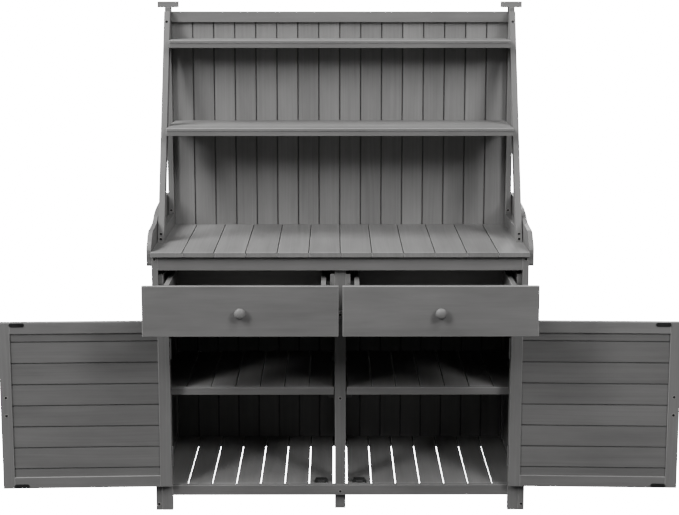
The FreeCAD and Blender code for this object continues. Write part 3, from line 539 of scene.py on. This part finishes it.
# ---- meshes ---------------------------------------------------------------------------------
@dataclass
class Surface:
    """A mesh being worked out: points, faces, and what the wood finish reads."""

    points: np.ndarray
    faces: list[np.ndarray]
    normals: np.ndarray | None = None
    values: dict[str, np.ndarray] = field(default_factory=dict)
    face_values: dict[str, np.ndarray] = field(default_factory=dict)

    def piece(self, name: str, turn: Turn = Turn()) -> bpy.types.Object:
        """Makes the object.

        Args:
            name: The piece's name.
            turn: Undone on every point, so that a door goes back to where it stands.

        Returns:
            The object, at the origin.
        """
        mesh = bpy.data.meshes.new(name)
        points = turn.apply(self.points, back=True)
        corners = np.concatenate([f.reshape(-1) for f in self.faces])
        sizes = np.concatenate([np.full(len(f), f.shape[1]) for f in self.faces])
        mesh.vertices.add(len(points))
        mesh.vertices.foreach_set("co", points.reshape(-1))
        mesh.loops.add(len(corners))
        mesh.loops.foreach_set("vertex_index", corners)
        mesh.polygons.add(len(sizes))
        mesh.polygons.foreach_set("loop_start", np.concatenate(([0], np.cumsum(sizes)[:-1])))
        mesh.polygons.foreach_set("loop_total", sizes)
        mesh.update(calc_edges=True)
        for key, value in self.values.items():
            vector = value.ndim == 2
            layer = mesh.attributes.new(key, "FLOAT_VECTOR" if vector else "FLOAT", "POINT")
            layer.data.foreach_set("vector" if vector else "value", value.reshape(-1))
        for key, value in self.face_values.items():
            mesh.attributes.new(key, "FLOAT", "FACE").data.foreach_set("value", value)
        mesh.validate()
        mesh.polygons.foreach_set("use_smooth", np.full(len(sizes), self.normals is not None))
        if self.normals is not None:
            mesh.normals_split_custom_set_from_vertices(turn.apply(self.normals, back=True, places=False))
        made = bpy.data.objects.new(name, mesh)
        bpy.context.scene.collection.objects.link(made)
        return made


def rounded_bars(low: np.ndarray, high: np.ndarray, radius: float, seed: int) -> Surface:
    """Timber bars with rounded arrises.

    A bar is a ring carried along its longest axis.  The ring is a rectangle whose corners are arcs:
    centre + r sin(t) (cos f, sin f).  At each end the ring shrinks along a quarter turn, t from 90
    degrees to nearly 0, while it moves out by r cos(t), so that every edge and corner is round.

    Args:
        low: Lowest corners, one row for each bar.
        high: Highest corners.
        radius: Of the arrises.
        seed: For each bar's place in the log and its tint.

    Returns:
        All the bars in one surface.
    """
    size = high - low
    along = np.argmax(size, axis=1)
    order = (along[:, None] + np.arange(3)) % 3
    half = np.take_along_axis(size, order, axis=1) / 2
    middle = (low + high) / 2
    r = np.minimum(radius, half.min(axis=1) * 0.6)[:, None, None]
    step = np.radians(np.linspace(0.0, 90.0, 4))
    f = (np.radians([0.0, 90.0, 180.0, 270.0])[:, None] + step).reshape(-1)
    side = np.repeat([[1, 1], [-1, 1], [-1, -1], [1, -1]], 4, axis=0)
    rise = np.radians([8.0, 35.0, 62.0, 90.0])
    t = np.concatenate((rise, rise[::-1]))[None, :, None]
    end = np.repeat([-1.0, 1.0], 4)[None, :, None]
    ones = np.ones((1, 1, len(f)))
    axial = end * (half[:, 0, None, None] - r + r * np.cos(t)) * ones
    across = side[:, 0] * (half[:, 1, None, None] - r) + r * np.sin(t) * np.cos(f)
    through = side[:, 1] * (half[:, 2, None, None] - r) + r * np.sin(t) * np.sin(f)
    local = np.stack((axial, across, through), axis=-1)
    slant = np.stack((end * np.cos(t) * ones, np.sin(t) * np.cos(f), np.sin(t) * np.sin(f)), axis=-1)
    slant = np.broadcast_to(slant, local.shape)
    count, stations, ring = local.shape[:3]
    back = np.argsort(order, axis=1)[:, None, None, :]
    points = np.take_along_axis(local, np.broadcast_to(back, local.shape), axis=3) + middle[:, None, None, :]
    normals = np.take_along_axis(slant, np.broadcast_to(back, local.shape), axis=3)
    index = np.arange(count * stations * ring).reshape(count, stations, ring)
    after = np.roll(index, -1, axis=2)
    quads = np.stack((index[:, :-1], after[:, :-1], after[:, 1:], index[:, 1:]), axis=-1).reshape(-1, 4)
    draw = np.random.default_rng(seed).random((count, 4))
    shift = draw[:, None, None, :3] * LOG_SPREAD
    # Edge weight for the paler arrises, worn stain and a painted highlight: 1 mid-arc, 0 on the flats.
    bulge = np.maximum(np.sin(2 * np.tile(step, 4)) * np.sin(t), np.sin(2 * t) * (t > rise[0]))
    values = {"grain": (local + shift).reshape(-1, 3),
              "board": np.repeat(draw[:, 3], stations * ring),
              "edge": np.broadcast_to(bulge, local.shape[:3]).reshape(-1)}
    faces = [quads, index[:, 0, ::-1], index[:, -1]]
    return Surface(points.reshape(-1, 3), faces, normals.reshape(-1, 3), values)


def turned(profile: np.ndarray, at: Sequence[float], way: np.ndarray, around: int) -> Surface:
    """A closed surface of revolution.

    Point (radius, out) of the profile at angle f goes to at + out way + radius (cos f, sin f)
    in the plane across way.

    Args:
        profile: Rows of radius and distance out, from axis to axis, counter-clockwise.
        at: Where the axis starts.
        way: Unit direction of the axis.
        around: Points in a turn.

    Returns:
        The surface, its two poles closed.
    """
    helper = np.array([0.0, 0.0, 1.0]) if abs(way[2]) < 0.9 else np.array([1.0, 0.0, 0.0])
    u = np.cross(helper, way)
    u /= np.linalg.norm(u)
    v = np.cross(way, u)
    f = np.linspace(0, 2 * math.pi, around, endpoint=False)
    radial = np.cos(f)[:, None] * u + np.sin(f)[:, None] * v
    body = profile[1:-1]
    points = np.array(at) + body[:, None, 1:2] * way + body[:, None, 0:1] * radial
    index = np.arange(len(body) * around).reshape(len(body), around)
    after = np.roll(index, -1, axis=1)
    quads = np.stack((index[:-1], after[:-1], after[1:], index[1:]), axis=-1).reshape(-1, 4)
    first, last = len(body) * around, len(body) * around + 1
    poles = np.array(at) + profile[[0, -1], 1:2] * way
    fan_a = np.stack((np.full(around, first), after[0], index[0]), axis=-1)
    fan_b = np.stack((np.full(around, last), index[-1], after[-1]), axis=-1)
    return Surface(np.concatenate((points.reshape(-1, 3), poles)), [quads, fan_a, fan_b])


def joined(surfaces: Sequence[Surface]) -> Surface:
    """Several surfaces as one, without normals or values.

    Args:
        surfaces: What to join.

    Returns:
        The whole.
    """
    starts = np.cumsum([0] + [len(s.points) for s in surfaces[:-1]])
    faces = [f + start for s, start in zip(surfaces, starts) for f in s.faces]
    return Surface(np.concatenate([s.points for s in surfaces]), faces)


# ---- the workshop ---------------------------------------------------------------------------
@dataclass
class Workshop:
    """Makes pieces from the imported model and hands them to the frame."""

    frame: Frame
    palette: Palette
    arris: float = 1.6 * MM
    groove: float = 1.4 * MM
    seed: int = 11

    def body(self, node: str) -> str:
        """Name of the body that a CAD node rides on."""
        groups = self.frame["record"]["behaviour"]["bodies"]
        return next(body for body, nodes in groups.items() if node in nodes)

    def slot(self, node: str) -> str:
        """Material slot of a CAD node."""
        rows = self.frame["record"]["subparts"]
        return next(row["material_slot"] for row in rows if row["node"] == node)

    def closing(self, node: str) -> Turn:
        """The turn that shuts a door, for a node on one.

        The joint stops a fraction of a degree short of shut, so its limit is rounded up.

        Args:
            node: The CAD node.

        Returns:
            The turn, or none for a node that isn't on a door.
        """
        body = self.body(node)
        for joint in self.frame["joints"]:
            if joint["child"] == body and joint["type"] == "hinge":
                limit = max(joint["range_deg"], key=abs)
                shut = math.copysign(math.ceil(abs(limit)), limit)
                return Turn(tuple(joint["pos_m"]), math.radians(shut))
        return Turn()

    def settle(self, piece: bpy.types.Object, finish: Finish, *nodes: str) -> bpy.types.Object:
        """Gives a piece its finish and its place in the frame.

        Args:
            piece: The new piece.
            finish: Its finish.
            nodes: CAD nodes that it stands for; it rides on the first one's body.

        Returns:
            The piece.
        """
        piece.data.materials.append(self.palette.get(finish))
        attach(piece, self.body(nodes[0]))
        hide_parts(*nodes)
        self.slot(nodes[0])
        LOG.info("%s: %d faces", piece.name, len(piece.data.polygons))
        return piece

    def bars(self, node: str, finish: Finish, seam: float = 0.0,
             arris: float | None = None) -> bpy.types.Object:
        """Replaces a node of plain boards with rounded ones.

        Args:
            node: The CAD node.
            finish: The boards' finish.
            seam: Where boards overlap side by side, the gap that is left between them.
            arris: Radius of the edges, if not the usual one.

        Returns:
            The piece.
        """
        turn = self.closing(node)
        low, high = Solids.of(self.frame["nodes"][node], turn).boxes()
        if turn.angle:
            low, high = self.shouldered(low, high)
        if seam:
            low, high = self.unlapped(low, high, seam)
        self.seed += 1
        surface = rounded_bars(low, high, arris or self.arris, self.seed)
        return self.settle(surface.piece(node + "_timber", turn), finish, node)

    @staticmethod
    def shouldered(low: np.ndarray, high: np.ndarray) -> tuple[np.ndarray, np.ndarray]:
        """Cuts a door's rails back to its stiles, because their tenons don't show.

        Args:
            low: Lowest corners of the frame's pieces.
            high: Highest corners.

        Returns:
            The corners, rails shortened.
        """
        size = high - low
        upright = size[:, 2] > size[:, 0]
        if upright.all() or not upright.any():
            return low, high
        inner_low = np.sort(high[upright, 0])[0]
        inner_high = np.sort(low[upright, 0])[-1]
        low, high = low.copy(), high.copy()
        low[~upright, 0] = np.maximum(low[~upright, 0], inner_low)
        high[~upright, 0] = np.minimum(high[~upright, 0], inner_high)
        return low, high

    @staticmethod
    def unlapped(low: np.ndarray, high: np.ndarray, seam: float) -> tuple[np.ndarray, np.ndarray]:
        """Cuts each board's tongue off where the next board begins.

        Args:
            low: Lowest corners of the boards.
            high: Highest corners.
            seam: Gap between boards.

        Returns:
            The corners, tongues gone.
        """
        high = high.copy()
        for axis in range(3):
            begins = low[:, axis]
            inside = (begins[None, :] > low[:, axis, None] + seam) & (begins[None, :] < high[:, axis, None])
            same = np.ones_like(inside)
            for other in range(3):
                if other != axis:
                    same &= np.abs(low[None, :, other] - low[:, None, other]) < seam
            limit = np.where(inside & same, begins[None, :] - seam, np.inf).min(axis=1)
            high[:, axis] = np.minimum(high[:, axis], limit)
        return low, high

    def in_seam(self, corners: np.ndarray, order: np.ndarray, low: np.ndarray,
                high: np.ndarray) -> np.ndarray:
        """Finds the faces of a board that lie in the joint with the next board.

        Args:
            corners: The board's triangles.
            order: Its axes, longest first.
            low: Lowest corner of all the boards.
            high: Highest corner.

        Returns:
            1 for a face that looks sideways and isn't on the outside of the row, else 0.
        """
        normal = np.cross(corners[:, 1] - corners[:, 0], corners[:, 2] - corners[:, 0])
        normal = np.abs(normal) / np.linalg.norm(normal, axis=1, keepdims=True).clip(1e-12)
        long, wide, thin = order
        middle = corners[:, :, wide].mean(axis=1)
        within = (middle > low[wide] + self.groove) & (middle < high[wide] - self.groove)
        return ((normal[:, thin] < 0.9) & (normal[:, long] < 0.1) & within).astype(float)

    def carved(self, node: str, finish: Finish, arris: float = 0.0, stain_and_shade_in_joints: bool = True) -> bpy.types.Object:
        """Replaces a node of shaped boards with a copy whose edges are eased.

        Args:
            node: The CAD node.
            finish: The boards' finish.
            arris: Width of the eased edge; 0 leaves it sharp.
            stain_and_shade_in_joints: Whether the joints between the boards are darkened: painted shade in
                the grooves, and stain gathered there.

        Returns:
            The piece.
        """
        turn = self.closing(node)
        solids = Solids.of(self.frame["nodes"][node], turn)
        self.seed += 1
        draw = np.random.default_rng(self.seed).random((solids.owner.max() + 1, 4))
        chunks, faces, grain, board, seam = [], [], [], [], []
        whole = solids.points.min(axis=0), solids.points.max(axis=0)
        start = 0
        for k in range(solids.owner.max() + 1):
            used, index = np.unique(solids.triangles[solids.owner == k], return_inverse=True)
            points = solids.points[used]
            centred = points - points.mean(axis=0)
            size = np.ptp(points, axis=0)
            axes = np.eye(3)[np.argsort(-size)]
            if node == "hutch_braces":
                axes = np.linalg.svd(centred, full_matrices=False)[2]
            chunks.append(points)
            faces.append(index.reshape(-1, 3) + start)
            grain.append(centred @ axes.T + draw[k, :3] * LOG_SPREAD)
            board.append(np.full(len(points), draw[k, 3]))
            corners = points[index.reshape(-1, 3)]
            seam.append(self.in_seam(corners, np.argsort(-size), *whole))
            start += len(points)
        values = {"grain": np.concatenate(grain), "board": np.concatenate(board), "edge": np.zeros(start)}
        # The seam value marks the joint faces that take the painted shade and gathered stain.
        shaded = {"seam": np.concatenate(seam) * stain_and_shade_in_joints}
        piece = Surface(np.concatenate(chunks), faces, None, values, shaded).piece(node + "_timber", turn)
        self.settle(piece, finish, node)
        if arris:
            # The bevelled arrises take the paler copy of the stain: worn stain and a painted highlight.
            piece.data.materials.append(self.palette.get(finish, worn_and_lit=True))
            self.eased(piece, arris)
        return piece

    @staticmethod
    def eased(piece: bpy.types.Object, width: float) -> None:
        """Joins coplanar triangles, then bevels what is left.

        Args:
            piece: The piece.
            width: Of the bevel.
        """
        work = bmesh.new()
        work.from_mesh(piece.data)
        bmesh.ops.dissolve_limit(work, angle_limit=math.radians(1.0), verts=work.verts, edges=work.edges)
        work.to_mesh(piece.data)
        work.free()
        bevel = piece.modifiers.new("eased", "BEVEL")
        bevel.width = width
        bevel.segments = 2
        bevel.limit_method = "ANGLE"
        bevel.angle_limit = math.radians(40.0)
        # Bevel faces get the second, paler material: worn stain and a painted highlight.
        bevel.material = 1
        bevel.harden_normals = False

    def coated(self, node: str, finish: Finish) -> None:
        """Gives a CAD node that stays its finish.

        Args:
            node: The CAD node.
            finish: Its finish.
        """
        made = self.frame["nodes"][node]
        made.data.materials.clear()
        made.data.materials.append(self.palette.get(finish))
        LOG.info("%s: finish %s", node, finish.name)


@dataclass
class Screws:
    """Countersunk screws seen end on, the larger ones each in a rim of torn fibres."""

    shop: Workshop
    sink: float = 0.6 * MM
    proud: float = 0.25 * MM
    rim: float = 1.2 * MM
    rimmed_from: float = 3.0 * MM

    def make(self, node: str) -> None:
        """Replaces a node of screws.

        Args:
            node: The CAD node.
        """
        turn = self.shop.closing(node)
        heads, rims = [], []
        for points in Solids.of(self.shop.frame["nodes"][node], turn).split():
            at, way, radius = self.head(points)
            heads.append(self.screw(at, way, radius, np.ptp(points, axis=0).max()))
            if radius > self.rimmed_from:
                rims.append(self.ring(at, way, radius))
        self.shop.settle(joined(heads).piece(node + "_heads", turn), Finish.SCREW, node)
        if rims:
            piece = joined(rims).piece(node + "_rims", turn)
            piece.data.materials.append(self.shop.palette.get(Finish.RIM))
            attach(piece, self.shop.body(node))

    @staticmethod
    def head(points: np.ndarray) -> tuple[np.ndarray, np.ndarray, float]:
        """Finds a screw's head.

        Args:
            points: The solid's points.

        Returns:
            Middle of the head's face, the way out of the wood, and the head's radius.
        """
        low, high = points.min(axis=0), points.max(axis=0)
        axis = int(np.argmax(high - low))
        middle = (low + high) / 2
        off = np.linalg.norm(np.delete(points - middle, axis, axis=1), axis=1)
        at_low = off[points[:, axis] < low[axis] + FLAT].max()
        at_high = off[points[:, axis] > high[axis] - FLAT].max()
        way = np.zeros(3)
        way[axis] = 1.0 if at_high > at_low else -1.0
        face = middle.copy()
        face[axis] = high[axis] if at_high > at_low else low[axis]
        return face, way, float(max(at_low, at_high))

    def screw(self, face: np.ndarray, way: np.ndarray, radius: float, length: float) -> Surface:
        """One screw, its face brought out of its sink to stand just proud of the wood."""
        lift = self.sink + self.proud
        socket, deep = radius * 0.42, self.proud * 0.8
        profile = np.array([[0.0, -length], [radius * 0.12, -length * 0.99], [radius * 0.45, -length * 0.9],
                            [radius * 0.45, -radius], [radius * 0.92, -radius * 0.25],
                            [radius, -0.1 * radius], [radius * 0.95, 0.0], [socket * 1.15, 0.0],
                            [socket, -0.3 * deep], [socket, -deep], [0.0, -deep * 1.1]])
        return turned(profile, face + way * lift, way, 18)

    def ring(self, face: np.ndarray, way: np.ndarray, radius: float) -> Surface:
        """The torn rim round a screw: a low ring that dips under the wood inside the head's edge."""
        outer = radius + self.rim
        profile = np.array([[0.0, -1.0 * MM], [outer, -1.0 * MM], [outer, 0.02 * MM],
                            [outer * 0.96, 0.12 * MM], [radius * 0.98, 0.16 * MM],
                            [radius * 0.85, -0.5 * MM], [0.0, -0.5 * MM]])
        return turned(profile, face + way * self.sink, way, 24)


@dataclass
class Knobs:
    """Turned drawer knobs with a hollow neck and a mushroom head."""

    shop: Workshop
    foot: float = 0.53
    neck: float = 0.38
    shoulder: float = 0.86
    neck_length: float = 0.46
    swell: float = 0.12
    around: int = 56

    def make(self, node: str) -> None:
        """Replaces a knob.

        Args:
            node: The CAD node.
        """
        low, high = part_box(node)
        radius, length = (high[0] - low[0]) / 2, high[1] - low[1]
        at = ((low[0] + high[0]) / 2, high[1], (low[2] + high[2]) / 2)
        way = np.array([0.0, -1.0, 0.0])
        surface = turned(self.profile(radius, length), at, way, self.around)
        local = surface.points - np.array(at)
        self.shop.seed += 1
        draw = np.random.default_rng(self.shop.seed).random(4)
        surface.values = {"grain": local[:, [0, 2, 1]] + draw[:3] * LOG_SPREAD[1],
                          "board": np.full(len(local), 0.75), "edge": np.zeros(len(local))}
        piece = surface.piece(node + "_turned")
        piece.data.polygons.foreach_set("use_smooth", np.ones(len(piece.data.polygons), bool))
        self.shop.settle(piece, Finish.FRAME, node)

    def profile(self, radius: float, length: float) -> np.ndarray:
        """Radius and distance out: foot, cosine neck, then a quarter-ellipse head.

        Args:
            radius: Of the head.
            length: Of the knob.

        Returns:
            The rows from the foot's middle to the head's.
        """
        s = np.linspace(0.0, 1.0, 12)
        dip = (1 - np.cos(2 * math.pi * s)) / 2
        straight = self.foot + (self.shoulder - self.foot) * s ** 2
        waist = straight - (straight - self.neck) * dip
        neck = np.stack((radius * waist, length * self.neck_length * s), axis=1)
        t = np.linspace(0.0, math.pi / 2, 14)
        widest = self.neck_length + self.swell
        girth = self.shoulder + (1 - self.shoulder) * np.sin(t)
        rise = self.neck_length + self.swell * (1 - np.cos(t))
        under = np.stack((radius * girth, length * rise), axis=1)
        dome = np.stack((radius * np.cos(t), length * (widest + (1 - widest) * np.sin(t))), axis=1)
        return np.concatenate(([[0.0, 0.0]], neck, under[1:], dome[1:]))


# ---- sub-assemblies -------------------------------------------------------------------------
@dataclass
class Carcass:
    """Posts, rails, boards and slats of the cabinet."""

    shop: Workshop
    plain: tuple[str, ...] = ("front_posts", "rear_posts", "front_stiles", "centre_posts", "front_apron",
                              "drawer_rail", "bottom_front_rail", "side_rails", "back_battens",
                              "bottom_ledgers", "middle_shelf_rails", "shelf_bearers", "catch_battens",
                              "drawer_runners", "worktop_battens")
    slats: tuple[str, ...] = ("bottom_slats", "middle_slats")
    matched: tuple[str, ...] = ("cabinet_back_boards", "side_boards")

    def build(self) -> None:
        """Makes every piece of the cabinet."""
        for node in self.plain:
            self.shop.bars(node, Finish.FRAME)
        for node in self.slats:
            self.shop.bars(node, Finish.BOARDS, arris=1.8 * MM)
        for node in self.matched:
            self.shop.carved(node, Finish.MATCH)
        self.shop.carved("worktop_boards", Finish.BOARDS, arris=0.7 * MM)
        self.shop.carved("side_guards", Finish.FRAME, arris=1.6 * MM, stain_and_shade_in_joints=False)


@dataclass
class Hutch:
    """Braces, shelves, matchboard and caps above the worktop."""

    shop: Workshop

    def build(self) -> None:
        """Makes every piece of the hutch."""
        for node in ("hutch_rails", "hutch_shelf_bearers", "post_caps"):
            self.shop.bars(node, Finish.FRAME)
        self.shop.bars("hutch_shelf_boards", Finish.BOARDS, seam=0.6 * MM)
        self.shop.carved("hutch_back_boards", Finish.HUTCH)
        self.shop.carved("hutch_braces", Finish.FRAME, arris=1.2 * MM, stain_and_shade_in_joints=False)
        self.shop.carved("hutch_foot_rails", Finish.FRAME, arris=1.2 * MM, stain_and_shade_in_joints=False)


@dataclass
class Drawer:
    """One drawer with its slides."""

    shop: Workshop
    side: str

    def build(self) -> None:
        """Makes the drawer's pieces."""
        name = self.side + "_drawer_"
        self.shop.bars(name + "front", Finish.FRAME, arris=2.2 * MM)
        self.shop.bars(name + "box", Finish.FRAME)
        self.shop.bars(name + "bottom", Finish.PANEL, arris=0.6 * MM)
        Knobs(self.shop).make(name + "knob")
        Screws(self.shop).make(name + "screws")
        for node in (self.side + "_slide_inner", self.side + "_slide_middle"):
            self.shop.coated(node, Finish.ZINC)


@dataclass
class Door:
    """One framed door with its hardware."""

    shop: Workshop
    side: str

    def build(self) -> None:
        """Makes the door's pieces."""
        name = self.side + "_door_"
        self.shop.bars(name + "frame", Finish.FRAME)
        self.shop.carved(name + "boards", Finish.MATCH)
        Screws(self.shop).make(name + "screws")
        self.shop.coated(name + "handle", Finish.PLATE)
        self.shop.coated(name + "strike_plates", Finish.PLATE)
        self.shop.coated(name + "hinge_leaves", Finish.ZINC)


@dataclass
class Ironmongery:
    """Fixed metal and plastic parts of the bench."""

    shop: Workshop

    def build(self) -> None:
        """Dresses the parts and makes the frame's screws."""
        Screws(self.shop).make("frame_screws")
        for node in ("slide_outer_members", "frame_hinge_leaves", "hinge_pins"):
            self.shop.coated(node, Finish.ZINC)
        self.shop.coated("catch_housings", Finish.PLASTIC)
        self.shop.coated("catch_magnets", Finish.MAGNET)


# ---- studio ---------------------------------------------------------------------------------
@dataclass
class Studio:
    """Floor, lights and camera."""

    palette: Palette
    eye: tuple[float, float, float] = (-0.01676, -4.3374, 1.7504)
    pitch: float = 0.1519
    yaw: float = -0.0034
    lens: float = 72.1
    lift: float = -0.12
    floor_half: float = 40.0
    aim: tuple[float, float, float] = (0.0, 0.1, 0.95)
    ambient: float = 0.11
    backdrop: float = 18.0
    lamps: dict[str, tuple[tuple[float, float, float], float, float]] = field(default_factory=lambda: {
        "left_low": ((-5.0, -5.0, 4.2), 1.5, 190.0),
        "left_high": ((-4.0, -4.2, 5.9), 1.8, 190.0),
        "right_low": ((4.6, -5.4, 5.1), 1.8, 250.0),
        "right_high": ((2.6, -3.2, 6.0), 2.0, 130.0),
        "left_top": ((-3.0, -0.4, 5.0), 1.8, 270.0),
        "rear": ((0.8, 5.5, 3.2), 2.0, 190.0)})

    def build(self) -> None:
        """Makes all of it."""
        self.floor()
        for name, (at, size, watts) in self.lamps.items():
            self.lamp(name, at, size, watts, self.aim)
        self.sky()
        self.camera()

    def floor(self) -> None:
        """A flat sheet that the bench stands on."""
        h = self.floor_half
        points = np.array([[-h, -h, 0.0], [h, -h, 0.0], [h, h, 0.0], [-h, h, 0.0]])
        sheet = Surface(points, [np.array([[0, 1, 2, 3]])]).piece("floor")
        sheet.data.materials.append(self.palette.get(Finish.FLOOR))
        sheet.visible_diffuse = False
        sheet.visible_glossy = False

    @staticmethod
    def lamp(name: str, at: Sequence[float], size: float, watts: float, aim: Sequence[float]) -> None:
        """A square soft light.

        Args:
            name: Its name.
            at: Its place.
            size: Its side.
            watts: Its power.
            aim: What it points at.
        """
        light = bpy.data.lights.new(name, "AREA")
        light.energy = watts
        light.size = size
        lamp = bpy.data.objects.new(name, light)
        lamp.location = at
        way = np.array(aim) - np.array(at)
        flat = math.hypot(way[0], way[1])
        lamp.rotation_euler = (math.atan2(flat, -way[2]), 0.0, math.atan2(-way[0], way[1]))
        bpy.context.scene.collection.objects.link(lamp)

    def sky(self) -> None:
        """Even white surroundings, dim as a light."""
        world = bpy.data.worlds.new("studio")
        world.use_nodes = True
        tree = world.node_tree
        tree.nodes.clear()
        lit, seen = tree.nodes.new("ShaderNodeBackground"), tree.nodes.new("ShaderNodeBackground")
        lit.inputs["Color"].default_value = grey(1.0)
        lit.inputs["Strength"].default_value = self.ambient
        seen.inputs["Color"].default_value = grey(1.0)
        seen.inputs["Strength"].default_value = self.backdrop
        path, mix = tree.nodes.new("ShaderNodeLightPath"), tree.nodes.new("ShaderNodeMixShader")
        out = tree.nodes.new("ShaderNodeOutputWorld")
        tree.links.new(path.outputs["Is Camera Ray"], mix.inputs["Fac"])
        tree.links.new(lit.outputs[0], mix.inputs[1])
        tree.links.new(seen.outputs[0], mix.inputs[2])
        tree.links.new(mix.outputs[0], out.inputs["Surface"])
        bpy.context.scene.world = world

    def camera(self) -> None:
        """A long lens at eye height, shifted down to take in the feet."""
        lens = bpy.data.cameras.new("camera")
        lens.lens = self.lens
        lens.shift_y = self.lift
        made = bpy.data.objects.new("camera", lens)
        made.location = self.eye
        made.rotation_euler = (math.pi / 2 - self.pitch, 0.0, self.yaw)
        bpy.context.scene.collection.objects.link(made)
        bpy.context.scene.camera = made


def main() -> None:
    """Builds the bench and its studio."""
    logging.basicConfig(level=logging.INFO, format="%(message)s")
    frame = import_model()
    palette = Palette()
    shop = Workshop(frame, palette)
    Studio(palette).build()
    Carcass(shop).build()
    Hutch(shop).build()
    for side in ("left", "right"):
        Drawer(shop, side).build()
        Door(shop, side).build()
    Ironmongery(shop).build()


if __name__ == "__main__":
    main()
